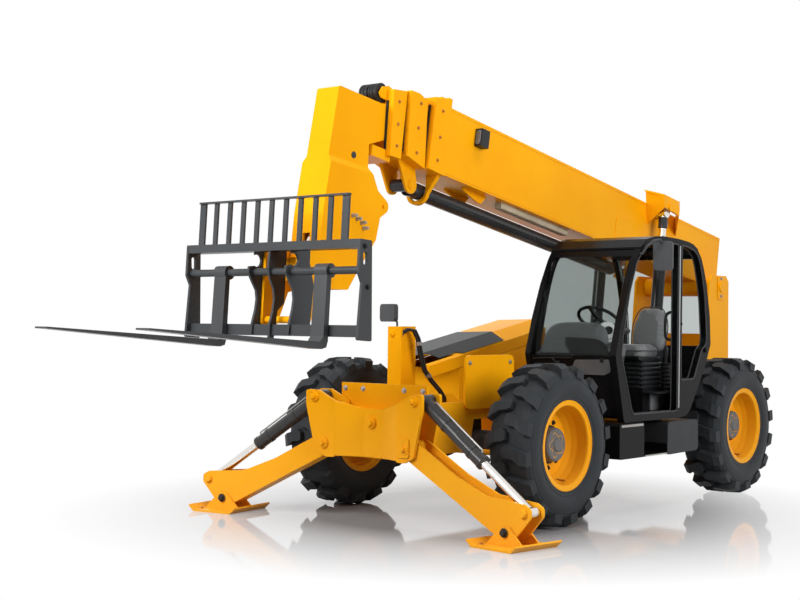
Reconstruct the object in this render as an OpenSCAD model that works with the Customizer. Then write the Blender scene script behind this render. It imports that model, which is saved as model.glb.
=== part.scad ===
/* [Wheels] */
// Outer diameter of a tyre over its lugs
tyre_d = 1280; // [1200:1:1340]
// Width of a tyre
tyre_w = 390; // [340:1:420]
// Diameter of a rim over its lips
rim_d = 710; // [660:1:760]
// Height of a tread lug
lug_h = 52; // [30:1:64]
// Lugs along each side of a tyre
lug_count = 16; // [12:1:20]
// Distance between the two axles
wheelbase = 3086; // [3000:1:3180]
// Distance between left and right tyre centres
track_w = 2100; // [2040:1:2200]
// Distance from the kingpin to the tyre's centre
kingpin_inset = 250; // [235:1:280]
// Diameter of a wheel hub
hub_d = 262; // [220:1:280]

/* [Chassis] */
// Width over the two chassis side plates
chassis_w = 880; // [860:1:900]
// Thickness of a chassis side plate
plate_t = 22; // [16:1:30]
// Height of the underside of the chassis
chassis_low = 480; // [440:1:520]
// Height of the chassis plates between the wheels
chassis_top = 1000; // [960:1:1060]
// Rear end of the chassis behind the middle of the wheelbase
chassis_rear = 2810; // [2780:1:2860]

/* [Boom] */
// Angle of the boom above level
boom_angle = 9.6; // [4:0.1:14]
// Distance of the boom pivot behind the middle of the wheelbase
pivot_back = 2620; // [2590:1:2650]
// Height of the boom pivot
pivot_z = 1990; // [1960:1:2020]
// Length of the outer boom from its pivot to its mouth
outer_len = 4766; // [4700:1:4800]
// Width of the outer boom
outer_w = 400; // [390:1:410]
// Height of the outer boom
outer_h = 565; // [555:1:580]
// Wall of the boom sections
boom_wall = 12; // [8:1:14]
// Width of the first inner section
mid1_w = 340; // [332:1:346]
// Height of the first inner section
mid1_h = 460; // [450:1:466]
// Width of the second inner section
mid2_w = 282; // [276:1:288]
// Height of the second inner section
mid2_h = 362; // [356:1:370]
// Width of the last section
inner_w = 220; // [212:1:226]
// Height of the last section
inner_h = 280; // [270:1:290]

/* [Cab] */
// Inner side of the cab, left of the middle
cab_in = 300; // [292:1:320]
// Outer side of the cab, left of the middle
cab_out = 1200; // [1160:1:1230]
// Height of the cab's floor underside
cab_low = 800; // [790:1:810]
// Height of the top of the cab's side hoops
cab_top = 2345; // [2325:1:2365]
// Width of a cab post seen from the side
post_w = 62; // [50:1:72]

/* [Forks and carriage] */
// Length of a fork blade from the shank's face
fork_len = 1567; // [1200:1:1800]
// Width of a fork
fork_w = 122; // [100:1:150]
// Thickness of a fork at its heel
fork_t = 50; // [40:1:60]
// Distance of each fork from the middle
fork_y = 508; // [470:1:560]
// Width of the carriage over its end plates
carriage_w = 1750; // [1700:1:1800]
// Number of upright bars in the load guard
guard_bars = 11; // [7:2:13]
// Tilt of the carriage back from upright
carriage_tilt = 3.5; // [0:0.5:6]

/* [Stabilisers] */
// Forward sweep of a stabiliser leg
leg_sweep = 8; // [4:0.5:10]
// Width over the two side plates of a leg
leg_w = 150; // [140:1:160]
// Thickness of a leg's side plate
leg_plate = 16; // [12:1:20]
// Length of a foot along the leg
pad_len = 480; // [420:1:520]
// Width of a foot across the leg
pad_w = 490; // [420:1:520]
// Diameter of a stabiliser ram's barrel
leg_ram_d = 108; // [90:1:112]

/* [Rams] */
// Diameter of a lift ram's barrel
lift_barrel_d = 120; // [100:1:126]
// Diameter of a lift ram's rod
lift_rod_d = 70; // [50:1:80]
// Diameter of the extension ram's barrel
ext_barrel_d = 132; // [110:1:136]
// Running clearance round a pin or rod
run_gap = 0.05; // [0.02:0.01:0.1]

/* [Hidden] */
$fn = 48;

axle_x = wheelbase / 2;
wheel_r = tyre_d / 2;
wheel_y = track_w / 2;
kingpin_y = wheel_y - kingpin_inset;
rail_out = chassis_w / 2;
rail_in = rail_out - plate_t;

// Boom geometry: s runs along the boom from its pivot, t stands square to it.
boom_mid_t = 330;
tail_s = -365;
mid1_drop = -20;
pad_gap = 0.3;
inner_drop = -35;
ext_pin_s = outer_len + 37;
ext_pin_t = boom_mid_t - outer_h / 2 - 148;
boom_tail_x = -pivot_back + tail_s * cos(boom_angle)
  - (boom_mid_t + outer_h / 2) * sin(boom_angle);

// Carriage geometry: measured from its tilt pivot.
tilt_x = 3160;
tilt_z = 1940;
shank_x = 420;
heel_z = -572;
fork_tip_x = tilt_x + (shank_x + fork_t + fork_len) * cos(carriage_tilt)
  - heel_z * sin(carriage_tilt);

// The part's origin lies on the ground below the middle of its length.
middle_x = (fork_tip_x + boom_tail_x) / 2;

// Lift ram pins, measured from the middle of the wheelbase.
lift_y = 340;
lift_base_x = -1340;
lift_base_z = 950;
lift_eye_x = -1582;
lift_eye_z = 2714;
lift_len = norm([lift_eye_x - lift_base_x, lift_eye_z - lift_base_z]);
lift_lean = atan2(lift_eye_x - lift_base_x, lift_eye_z - lift_base_z);

// Stabiliser pins in the leg's own plane: outward, then up.
leg_x = 2455;
leg_y = 435;
leg_pin_z = 625;
ram_pin = [94, 990];
rod_pin = [1187, 260];
foot_pin = [1026, 110];
leg_ram_len = norm(rod_pin - ram_pin);
leg_ram_angle = atan2(rod_pin[1] - ram_pin[1], rod_pin[0] - ram_pin[0]);

// Tilt ram pins.
tilt_ram_top = [2840, 2860];
tilt_arm = 170;
tilt_rod_pin = [tilt_x + tilt_arm * cos(carriage_tilt), tilt_z + tilt_arm * sin(carriage_tilt)];
tilt_ram_len = norm(tilt_rod_pin - tilt_ram_top);
tilt_ram_angle = atan2(tilt_rod_pin[1] - tilt_ram_top[1], tilt_rod_pin[0] - tilt_ram_top[0]);

// Fits and places that pieces share
rail_front = 2300;
saddle_z = wheel_r + 175;
post_top = 1555;
post_front = 1750;
post_depth = 350;
post_in = 296;
outrigger_y = 840;
step_out = 1215;
pod_in = 470;
pod_out = 1200;
pod_front = 700;
pod_rear = 700;
hood_front = 1150;
seam_slope = 0.185;
hinge_out = 15;
hinge_pin_r = 6;
hinge_x = [-450, 350];
seat_y = (cab_in + cab_out) / 2;
seat_w = 400;
seat_low = 1280;
column_len = 250;
bellows_folds = 5;
head_w = 294;
tilt_slot = 36;
guard_w = 1500;
hub_r = hub_d / 2;
rim_r = rim_d / 2;
kingpin_r = 28;
boom_pin_r = 45;
lift_pin_r = 32;
tilt_pin_r = 34;
leg_pin_r = 30;
ram_pin_r = 28;
leg_rod_r = 34;
wing_t = 25;
wing_x = leg_w / 2 + 6;
leg_barrel_len = 760;
lift_barrel_len = 1330;
ext_barrel_s = 1500;
ext_anchor_s = 1250;

// The lift ram's upper pin in the boom's own frame
yoke_dx = lift_eye_x + pivot_back;
yoke_dz = lift_eye_z - pivot_z;
yoke_s = yoke_dx * cos(boom_angle) + yoke_dz * sin(boom_angle);
yoke_t = yoke_dz * cos(boom_angle) - yoke_dx * sin(boom_angle);

module placed() { translate([-middle_x, 0, 0]) children(); }
// Extrudes a side-view outline across the machine from one side position to another.
module across(y0, y1) {
  translate([0, y1, 0])
    rotate([90, 0, 0])
      linear_extrude(y1 - y0)
        children();
}
module block(x0, x1, y0, y1, z0, z1) {
  translate([x0, y0, z0])
    cube([x1 - x0, y1 - y0, z1 - z0]);
}
module pin_across(x, z, y0, y1, r) {
  translate([x, y1, z])
    rotate([90, 0, 0])
      cylinder(r = r, h = y1 - y0);
}
module both_sides() {
  children();
  mirror([0, 1, 0]) children();
}
module on_side(side) {
  mirror([0, side < 0 ? 1 : 0, 0]) children();
}
module rounded(r) { offset(r) offset(-r) children(); }

// Upper outline of a chassis side plate, with the tower that carries the boom at the rear
function rail_outline() = [
  [-chassis_rear, 620], [-chassis_rear, pivot_z + 60], [-chassis_rear + 60, pivot_z + 120],
  [-2440, pivot_z + 120], [-2380, pivot_z + 60], [-2290, 1260], [-1150, 1110],
  [-880, chassis_top + 40], [-820, cab_low - 20], [620, cab_low - 20], [860, chassis_top - 40],
  [rail_front, chassis_top - 40], [rail_front, 560],
  [axle_x + 230, 560], [axle_x + 170, saddle_z], [axle_x - 170, saddle_z],
  [axle_x - 230, chassis_low], [-axle_x + 230, chassis_low], [-axle_x + 170, saddle_z],
  [-axle_x - 170, saddle_z], [-axle_x - 230, 620]];

module rail() {
  difference() {
    across(rail_in, rail_out) polygon(rail_outline());
    pin_across(-pivot_back, pivot_z, rail_in - 1, rail_out + 1, boom_pin_r + run_gap);
    pin_across(lift_base_x, lift_base_z, rail_in - 1, rail_out + 1, lift_pin_r + run_gap);
  }
}

module lift_ear() {
  difference() {
    union() {
      block(lift_base_x - 110, lift_base_x + 110, 258, 280, 800, lift_base_z);
      pin_across(lift_base_x, lift_base_z, 258, 280, 110);
      block(lift_base_x - 110, lift_base_x + 110, 258, rail_in + 1, 780, 802);
    }
    pin_across(lift_base_x, lift_base_z, 257, 281, lift_pin_r + run_gap);
  }
}

module chassis_frame() {
  placed() color("orange") {
    both_sides() {
      rail();
      lift_ear();
    }
    // Upright guard plate ahead of the left front wheel
    across(rail_out, rail_out + 20)
      rounded(60) polygon([[1180, 900], [1180, 1330], [1856, 1330], [1856, 900]]);
    // Mirror post on the right
    block(post_front - post_depth, post_front, -rail_out, -rail_out + 20, 940, post_top);
    block(post_front - 20, post_front, -rail_out, -post_in, 940, post_top);
    // Cross members and the cast block at the rear
    block(-chassis_rear, -chassis_rear + 22, -rail_in, rail_in, 620, 1500);
    block(-chassis_rear + 22, -2440, -rail_in, rail_in, 620, 1080);
    for (x = [-axle_x, axle_x])
      block(x - 120, x + 120, -rail_in, rail_in, saddle_z, saddle_z + 30);
    block(-axle_x + 300, axle_x - 300, -rail_in, rail_in, chassis_low, chassis_low + 20);
    block(2200, 2222, -rail_in, rail_in, 560, chassis_top - 40);
    // Outriggers below the cab
    for (x = [-400, 340])
      block(x, x + 100, rail_out, outrigger_y, 700, cab_low);
    // Brackets of the engine pod
    for (x = [-500, 400])
      block(x, x + 100, -pod_in, -rail_out, 600, 900);
  }
}

// Outline of a stabiliser's front and rear plates, outward and up
module wing_outline() {
  rounded(20)
    polygon([[-105, 515], [-20, 515], [85, 560], [175, 930], [175, 1045], [60, 1045],
      [-105, 960]]);
}

// Places a part in the leg's own plane: X across the leg, Y outward, Z up.
module leg_place() {
  translate([leg_x, leg_y, 0])
    rotate([0, 0, -leg_sweep])
      children();
}
module leg_plate_at(x0, x1) {
  translate([x0, 0, 0])
    rotate([90, 0, 90])
      linear_extrude(x1 - x0)
        children();
}
module leg_pin(p, x0, x1, r) {
  translate([x0, p[0], p[1]])
    rotate([0, 90, 0])
      cylinder(r = r, h = x1 - x0);
}

module stabiliser_wing() {
  leg_place()
    difference() {
      union() {
        leg_plate_at(wing_x, wing_x + wing_t) wing_outline();
        leg_plate_at(-wing_x - wing_t, -wing_x) wing_outline();
        leg_plate_at(-wing_x - 1, wing_x + 1)
          polygon([[-125, 521], [-98, 521], [-98, 948], [-125, 948]]);
      }
      leg_pin([0, leg_pin_z], -200, 200, leg_pin_r + run_gap);
      leg_pin(ram_pin, -200, 200, ram_pin_r + run_gap);
    }
}

module stabiliser_frame() {
  placed() color("orange") {
    both_sides() stabiliser_wing();
    // Concave front plate: its plan is folded and its top dips for the boom's head
    intersection() {
      translate([0, 0, 500])
        linear_extrude(600)
          polygon([[2430, -90], [2520, -335], [2545, -335], [2545, -318], [2455, -90], [2455, 90],
            [2545, 318], [2545, 335], [2520, 335], [2430, 90]]);
      translate([2400, 0, 0])
        rotate([90, 0, 90])
          linear_extrude(200)
            polygon([[-340, 528], [340, 528], [340, 965], [90, 905], [-90, 905], [-340, 965]]);
    }
    // Bolted plate on the chassis and the neck between the two
    block(rail_front, rail_front + 25, -rail_out, rail_out, 560, 1100);
    for (z = [520, 860])
      block(rail_front + 25, 2440, -300, 300, z, z + 20);
  }
}

// Engine side
function seam_z(x) = 1190 + (650 - x) * seam_slope;
function hood_z(x) = seam_z(x) + 110;

module engine_block() {
  placed() color("dimgray") {
    block(-430, 420, -1030, -600, chassis_low + 12, 900);
    block(-380, 340, -960, -680, 900, 1150);
  }
}

module pod_outline() {
  polygon([[-pod_rear, chassis_low], [pod_front, chassis_low], [pod_front, seam_z(pod_front)],
    [-pod_rear, seam_z(-pod_rear)]]);
}

// The hood's hinge line runs along the inner seam; its own X follows the seam's slope.
module hinge_place(x) {
  translate([x, -pod_in + hinge_out, seam_z(x)])
    rotate([0, atan(seam_slope), 0])
      children();
}
module hinge_barrel(x0, x1, bore_r) {
  translate([x0, 0, 0])
    rotate([0, 90, 0])
      difference() {
        cylinder(r = 11, h = x1 - x0);
        if (bore_r > 0)
          translate([0, 0, -1]) cylinder(r = bore_r, h = x1 - x0 + 2);
      }
}

module engine_pod() {
  placed() color("orange") {
    difference() {
      across(-pod_out, -pod_in) pod_outline();
      across(-pod_out + 12, -pod_in - 12)
        polygon([[-pod_rear + 12, chassis_low + 12], [pod_front - 12, chassis_low + 12],
          [pod_front - 12, 1600], [-pod_rear + 12, 1600]]);
    }
    for (x = hinge_x)
      hinge_place(x) {
        for (x0 = [-20, 61]) {
          hinge_barrel(x0, x0 + 19, 0);
          translate([x0, -hinge_out - 1, -11]) cube([19, hinge_out + 1, 8]);
        }
        rotate([0, 90, 0]) cylinder(r = hinge_pin_r, h = 70);
      }
  }
}

// Cross-section of the hood at one station, drawn as a thin slice
module hood_slice(x, low, inset) {
  side = hood_z(x) - inset;
  crown = side + 85;
  translate([x, 0, 0])
    rotate([90, 0, 90])
      linear_extrude(0.5)
        polygon([[-pod_in - inset, low], [-pod_in - inset, side],
          [-pod_in - 150, crown], [-pod_out + 170, crown - 10],
          [-pod_out + inset, side - 60], [-pod_out + inset, low]]);
}
module hood_form(inset) {
  hull() {
    hood_slice(hood_front - inset * 1.2, seam_z(hood_front) + 5 - inset * 2, inset);
    hood_slice(0, seam_z(0) + 5 - inset * 2, inset);
  }
  hull() {
    hood_slice(0, seam_z(0) + 5 - inset * 2, inset);
    hood_slice(-pod_rear + inset * 1.2, seam_z(-pod_rear) + 5 - inset * 2, inset);
  }
}
module engine_cover() {
  placed() color("orange") {
    difference() {
      hood_form(0);
      hood_form(12);
      // Room for the steered front wheel
      block(pod_front, hood_front + 100, -pod_out - 10, -pod_in - 30, 1000, 1300);
    }
    for (x = hinge_x)
      hinge_place(x) {
        hinge_barrel(0, 60, hinge_pin_r + run_gap);
        translate([0, -hinge_out - 1, 6]) cube([60, hinge_out - 6, 5]);
      }
  }
}

// Black moulding over the front of the hood: a shell cut to a waved lower edge
function moulding_outline() = [for (p = [[1200, 92], [1060, 85], [990, 70], [950, 31], [690, 31],
  [640, 14], [0, 13], [0, 200], [1200, 200]]) [p[0], hood_z(p[0]) + p[1]]];
module hood_moulding() {
  placed() color("black")
    intersection() {
      difference() {
        hood_form(-7);
        hood_form(-0.3);
      }
      across(-pod_out + 175, -pod_in + 12) polygon(moulding_outline());
    }
}

// Left side below the cab
module fuel_tank() {
  placed() color("gray")
    across(outrigger_y, step_out)
      rounded(40)
        polygon([[-640, 470], [-80, 460], [-80, 745], [-640, 745]]);
}

module cab_steps() {
  placed() color("black") {
    across(outrigger_y, step_out)
      rounded(25)
        polygon([[330, 470], [735, 470], [735, 764], [330, 764]]);
    // Open step between the box and the tank
    block(-79.5, 331, outrigger_y + 60, step_out, 470, 484);
    block(-79.5, 331, outrigger_y + 60, outrigger_y + 66, 484, 560);
    block(-79.5, -70, outrigger_y + 60, step_out, 484, 560);
  }
}

// Axles: a beam with a drive housing in the middle and a forked end at each kingpin
module axle_beam() {
  beam = kingpin_y - 96;
  translate([0, -beam, wheel_r])
    rotate([-90, 0, 0])
      cylinder(r = 78, h = 2 * beam);
  translate([0, 0, wheel_r])
    sphere(r = 165);
  both_sides() {
    translate([0, 0, wheel_r])
      rotate([-90, 0, 0])
        cylinder(r1 = 150, r2 = 80, h = 260);
    block(-85, 85, 210, 330, wheel_r + 60, saddle_z - 0.3);
    difference() {
      union() {
        block(-62, 62, kingpin_y - 125, kingpin_y - 95, wheel_r - 138, wheel_r + 138);
        for (z = [-138, 106])
          translate([0, kingpin_y, wheel_r + z]) {
            cylinder(r = 62, h = 32);
            translate([-62, -110, 0]) cube([124, 110, 32]);
          }
      }
      translate([0, kingpin_y, wheel_r - 150])
        cylinder(r = kingpin_r + run_gap, h = 300);
    }
  }
}
module axles() {
  placed() color("dimgray")
    for (x = [-axle_x, axle_x])
      translate([x, 0, 0])
        axle_beam();
}

// Places a wheel's own parts: the wheel's centre, Y outward.
module wheel_place(front, side) {
  on_side(side)
    translate([front * axle_x, wheel_y, wheel_r])
      children();
}
module knuckle(front, side) {
  placed() color("dimgray")
    wheel_place(front, side) {
      translate([0, -kingpin_inset, -100])
        cylinder(r = 58, h = 200);
      translate([0, -kingpin_inset, -138])
        cylinder(r = kingpin_r, h = 276);
      translate([0, -kingpin_inset, 0])
        rotate([-90, 0, 0])
          cylinder(r = 92, h = kingpin_inset - 60.3);
      // Steering arm
      translate([-150, -kingpin_inset - 25, -60])
        cube([150, 50, 36]);
    }
}

// Half outline of a rim: radius, then distance outward
function rim_outline() = [
  [rim_r, 178], [rim_r, 166], [rim_r - 33, 160], [rim_r - 37, 60], [rim_r - 55, 30],
  [rim_r - 55, -60], [rim_r - 37, -90], [rim_r - 33, -160], [rim_r, -166], [rim_r, -178],
  [rim_r - 12, -178], [rim_r - 13, -174.5], [rim_r - 40, -170], [rim_r - 46, -158],
  [rim_r - 49, -94],
  [rim_r - 67, -66], [rim_r - 67, -36], [hub_r - 10, -50], [hub_r - 10, -26], [rim_r - 95, -20],
  [rim_r - 64, 20], [rim_r - 49, 66], [rim_r - 46, 158], [rim_r - 40, 170],
  [rim_r - 13, 174.5], [rim_r - 12, 178]];

module rim(front, side) {
  placed() color("orange")
    wheel_place(front, side)
      rotate([-90, 0, 0]) {
        rotate_extrude($fn = 64) polygon(rim_outline());
        // Hub with its planetary housing
        translate([0, 0, -60]) cylinder(r = hub_r, h = 110);
        translate([0, 0, 50]) cylinder(r1 = hub_r, r2 = hub_r - 22, h = 22);
        translate([0, 0, 71]) cylinder(r = 48, h = 14);
      }
}

// Half outline of a tyre: bead, sidewall as an arc, tread base
function tyre_outline(r0, w) = concat(
  [[rim_r - 32.5, -w + 36], [rim_r - 32.5, w - 36], [rim_r + 3, w - 29.5], [rim_r + 3, w - 16]],
  [for (a = [0 : 20 : 180]) [rim_r + 20 + (r0 - rim_r - 60) * a / 180, w - 14 + 14 * sin(a)]],
  [[r0 - 12, w - 40], [r0, w - 90], [r0 + 4, 0], [r0, -w + 90], [r0 - 12, -w + 40]],
  [for (a = [180 : -20 : 0]) [rim_r + 20 + (r0 - rim_r - 60) * a / 180, -w + 14 - 14 * sin(a)]],
  [[rim_r + 3, -w + 16], [rim_r + 3, -w + 29.5]]);

// One lug: stations across the tyre, each with its two edges round the tread and its height
function lug_stations(w) = [
  [-14, -8, 50, 0], [22, -36, 66, 0], [84, -12, 74, 0], [w - 52, 6, 116, 2], [w - 1, 30, 134, 30]];
function on_tread(v, u, r) = let (a = u / wheel_r * 180 / PI) [r * cos(a), r * sin(a), v];
module lug(w) {
  st = lug_stations(w);
  n = len(st);
  base_r = wheel_r - lug_h;
  polyhedron(
    points = [for (p = st) each [
      on_tread(p[0], p[1] - 6, base_r - 14 - p[3] * 1.2), on_tread(p[0], p[2] + 6, base_r - 14 - p[3] * 1.2),
      on_tread(p[0], p[2], wheel_r - p[3]), on_tread(p[0], p[1], wheel_r - p[3])]],
    faces = concat(
      [[3, 2, 1, 0]],
      [for (i = [0 : n - 2]) for (k = [0 : 3])
        [i * 4 + (k + 1) % 4, (i + 1) * 4 + (k + 1) % 4, (i + 1) * 4 + k, i * 4 + k]],
      [[for (k = [0 : 3]) (n - 1) * 4 + k]]));
}
module lug_ring(w) {
  step = 360 / lug_count;
  for (i = [0 : lug_count - 1])
    rotate([0, 0, i * step])
      lug(w);
}
module tyre(front, side) {
  base_r = wheel_r - lug_h;
  w = tyre_w / 2;
  placed() color("dimgray")
    wheel_place(front, side)
      rotate([-90, 0, 0]) {
        rotate_extrude($fn = 64) polygon(tyre_outline(base_r, w));
        lug_ring(w);
        rotate([0, 0, 180 / lug_count])
          mirror([0, 0, 1])
            lug_ring(w);
      }
}

// Cab: side outline of a hoop, from the front sill up the bent front post and round to the rear
function roof_line(rise) = [[377, cab_top - 112 + rise], [270, cab_top - 39 + rise],
  [150, cab_top - 11 + rise], [0, cab_top + rise], [-298, cab_top - 10 + rise],
  [-480, cab_top - 27 + rise], [-567, cab_top - 45 + rise], [-655, cab_top - 85 + rise]];
function hoop_outline() = concat(
  [[640, cab_low - 28], [785, 1333], [686, 1636], [560, 1931], [440, 2150]],
  roof_line(0),
  [[-722, 2190], [-775, 2080], [-819, 1969], [-886, 1678], [-905, 1415], [-798, 1212],
    [-526, cab_low + 46], [-460, cab_low - 10], [-319, cab_low - 28]]);
function door_opening() = [
  [492, cab_low + 34], [519, cab_low + 76], [690, 1330], [671, 1477], [559, 1864], [443, 2122],
  [360, 2200], [269, cab_top - 87], [187, cab_top - 60], [60, cab_top - 45],
  [-285, cab_top - 42], [-268, cab_low + 34]];
function quarter_opening() = [
  [-352, cab_top - 45], [-480, cab_top - 60], [-583, cab_top - 85], [-650, 2215], [-692, 2150],
  [-740, 2010], [-790, 1822], [-826, 1474], [-812, 1412], [-733, 1370], [-584, 1110], [-340, 1100]];
function right_opening() = [
  [690, 1345], [671, 1477], [559, 1864], [443, 2122], [340, 2222], [187, cab_top - 62],
  [-480, cab_top - 62], [-583, cab_top - 90], [-650, 2210], [-692, 2150], [-740, 2010],
  [-790, 1822], [-826, 1474], [-800, 1410]];

module hoop() {
  difference() {
    rounded(30) polygon(hoop_outline());
    children();
  }
}
module cab_frame() {
  side_t = post_w;
  placed() color("black") {
    across(cab_out - side_t, cab_out)
      hoop() {
        rounded(30) polygon(door_opening());
        rounded(30) polygon(quarter_opening());
      }
    across(cab_in, cab_in + 50)
      hoop() rounded(30) polygon(right_opening());
    // Floor
    block(-405, 600, cab_in + 45, cab_out - side_t + 5, cab_low, cab_low + 30);
    // Cowl, front header, rear header and rear panel between the hoops
    across(cab_in + 49, cab_out - side_t + 1) {
      polygon([[585, cab_low + 6], [622, cab_low + 20], [766, 1322], [724, 1322],
        [585, cab_low + 50]]);
      polygon([[414, 2170], [372, 2230], [268, cab_top - 44], [150, cab_top - 17],
        [150, cab_top - 47], [258, cab_top - 80], [345, 2205], [385, 2170]]);
      polygon([[-560, cab_top - 49], [-648, cab_top - 91], [-712, 2190], [-680, 2190],
        [-632, 2228], [-560, cab_top - 81]]);
      polygon([[-448, cab_low + 8], [-516, cab_low + 62], [-785, 1222], [-889, 1400],
        [-850, 1400], [-752, 1215], [-398, cab_low + 12]]);
    }
  }
}

module cab_roof() {
  placed() color("black")
    across(cab_in + 3, cab_out - 3)
      polygon(concat(roof_line(0.5), [for (i = [7 : -1 : 0]) roof_line(16)[i]]));
}

// A bent pane: its outer line in side view and the same line moved by its thickness
module pane(line, thick) {
  across(cab_in + 50.3, cab_out - post_w - 0.3)
    polygon(concat(line, [for (i = [len(line) - 1 : -1 : 0]) line[i] + [thick, 0]]));
}
module cab_glass() {
  placed() color("lightgray", 0.4) {
    pane([[757, 1322.3], [664, 1632], [538, 1928], [422, 2143], [408, 2169.7]], -7);
    pane([[-706, 2189.7], [-800, 1964], [-866, 1676], [-886, 1400.3]], 7);
    // Right side pane
    across(cab_in + 20, cab_in + 26)
      offset(-0.3) rounded(30) polygon(right_opening());
  }
}

module column_place() {
  translate([470, seat_y, 1400])
    rotate([0, -35, 0])
      children();
}
module cab_console() {
  placed() color("dimgray") {
    // Dash, higher on the right where the instruments stand
    across(cab_in + 60, cab_out - post_w - 90)
      rounded(36)
        polygon([[410, cab_low + 30], [540, cab_low + 30], [700, 1290], [690, 1350],
          [580, 1425], [440, 1440], [350, 1400], [400, 1240]]);
    column_place() cylinder(r = 28, h = column_len);
    // Side console, seat pedestal and the ribbed bellows between pedestal and seat
    across(cab_in + 60, cab_in + 185)
      polygon([[-390, cab_low + 30], [150, cab_low + 30], [150, 1240], [-560, 1240],
        [-560, 1110]]);
    across(seat_y - seat_w / 2, seat_y + seat_w / 2)
      polygon([[-385, cab_low + 30], [-110, cab_low + 30], [-110, 1030], [-500, 1030]]);
    for (i = [0 : bellows_folds - 1]) {
      z = 1029 + i * (seat_low - 1029) / bellows_folds;
      for (side_in = [0, 1])
        translate([-300, seat_y, z + side_in * 20])
          linear_extrude((seat_low - 1029) / bellows_folds - side_in * 20)
            square([370 - side_in * 24, seat_w - 30 - side_in * 24], center = true);
    }
  }
}

module seat() {
  placed() color("gray") {
    across(seat_y - seat_w / 2, seat_y + seat_w / 2)
      rounded(34)
        polygon([[-500, seat_low + 0.3], [-50, seat_low + 0.3], [-30, seat_low + 115],
          [-470, seat_low + 95]]);
    across(seat_y - seat_w / 2 + 10, seat_y + seat_w / 2 - 10)
      rounded(28)
        polygon([[-585, seat_low + 0.3], [-499, seat_low + 0.3], [-505, 1480], [-570, 1720],
          [-600, 1765], [-680, 1765], [-690, 1700], [-640, 1440]]);
  }
}

module steering_wheel() {
  placed() color("black")
    column_place()
      translate([0, 0, column_len + 0.3]) {
        cylinder(r = 45, h = 30);
        translate([0, 0, 30])
          rotate_extrude($fn = 48)
            translate([185, 0])
              circle(r = 15, $fn = 16);
        for (a = [0, 120, 240])
          rotate([0, 0, a])
            translate([30, -14, 14])
              cube([150, 28, 14]);
      }
}

module mirror_head(w, h, depth) {
  translate([-depth / 2, 0, 0])
    rotate([90, 0, 90])
      linear_extrude(depth)
        rounded(34) square([w, h], center = true);
}
module mirrors() {
  placed() color("black") {
    // Left head, held by a bowed arm from the front post
    translate([232, cab_out + 130, 2177])
      rotate([0, 0, 20])
        mirror_head(166, 252, 40);
    hose([[392, cab_out + 0.3, 2190], [392, cab_out + 20, 2190], [385, cab_out + 60, 2250],
      [350, cab_out + 105, 2300], [290, cab_out + 128, 2310], [240, cab_out + 130, 2280]], 11);
    // Right head, held by a bowed arm from the top of the post
    translate([1625, -rail_out - 95, post_top + 115])
      rotate([0, 0, -20])
        mirror_head(245, 152, 40);
    hose([[1640, -rail_out + 10, post_top + 0.3], [1640, -rail_out + 10, post_top + 30],
      [1641, -rail_out - 5, post_top + 70], [1638, -rail_out - 40, post_top + 96],
      [1630, -rail_out - 80, post_top + 105]], 9);
  }
}

// A hose is a tube swept along points chosen by hand.
function hose_dir(p, i) = let (n = len(p) - 1,
  d = i == 0 ? p[1] - p[0] : (i == n ? p[n] - p[n - 1] : p[i + 1] - p[i - 1])) d / norm(d);
function hose_up(p, i) = let (d = hose_dir(p, i),
  from = i == 0 ? (abs(d[2]) > 0.9 ? [1, 0, 0] : [0, 0, 1]) : hose_up(p, i - 1),
  flat = from - (from * d) * d) flat / norm(flat);
function hose_ring(c, d, u, r) = let (v = cross(d, u))
  [for (k = [0 : 7]) c + r * (cos(k * 45) * u + sin(k * 45) * v)];
module hose(p, r) {
  n = len(p);
  polyhedron(
    points = [for (i = [0 : n - 1]) each hose_ring(p[i], hose_dir(p, i), hose_up(p, i), r)],
    faces = concat(
      [[for (k = [0 : 7]) k]],
      [for (i = [0 : n - 2]) for (k = [0 : 7])
        [(i + 1) * 8 + k, (i + 1) * 8 + (k + 1) % 8, i * 8 + (k + 1) % 8, i * 8 + k]],
      [[for (k = [7 : -1 : 0]) (n - 1) * 8 + k]]));
}
hose_route = [[1670, -419.7, 1420], [1670, -396, 1420], [1655, -385, 1450], [1630, -370, 1500],
  [1560, -360, 1530], [1490, -350, 1520], [1450, -340, 1450], [1420, -330, 1300],
  [1380, -320, 1180], [1300, -310, 1090], [1180, -310, 1000], [1090, -330, 930],
  [1030, -375, 900], [1020, -400, 900], [1020, -417.7, 900]];
module front_hoses() {
  placed() color("black")
    for (x = [0, 32])
      hose([for (p = hose_route) p + [x, 0, 0]], 13);
}

module rear_lamps() {
  placed() color("red")
    both_sides()
      block(-chassis_rear - 30, -chassis_rear - 0.3, 300, 400, 1300, 1420);
}

module tow_hitch() {
  placed() color("dimgray")
    difference() {
      block(-chassis_rear - 120, -chassis_rear, -70, 70, 660, 780);
      block(-chassis_rear - 121, -chassis_rear - 25, -71, 71, 690, 750);
      translate([-chassis_rear - 75, 0, 650])
        cylinder(r = 16, h = 150);
    }
}

// Boom
module boom_place() {
  translate([-pivot_back, 0, pivot_z])
    rotate([0, -boom_angle, 0])
      children();
}
module section(s0, s1, w, h, t, wall) {
  translate([s0, 0, t])
    difference() {
      translate([0, -w / 2, -h / 2]) cube([s1 - s0, w, h]);
      translate([-1, -w / 2 + wall, -h / 2 + wall]) cube([s1 - s0 + 2, w - 2 * wall, h - 2 * wall]);
    }
}
// A collar: a side outline in boom lengths and heights above the boom's middle, taken across
// the boom, with the next section's outline cut out of it.
module collar(outline, w, bore_w, bore_h, bore_t) {
  difference() {
    across(-w / 2, w / 2)
      polygon([for (p = outline) [outer_len + p[0], boom_mid_t + p[1]]]);
    translate([outer_len - 300, -bore_w / 2, boom_mid_t + bore_t - bore_h / 2])
      cube([900, bore_w, bore_h]);
  }
}
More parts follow.
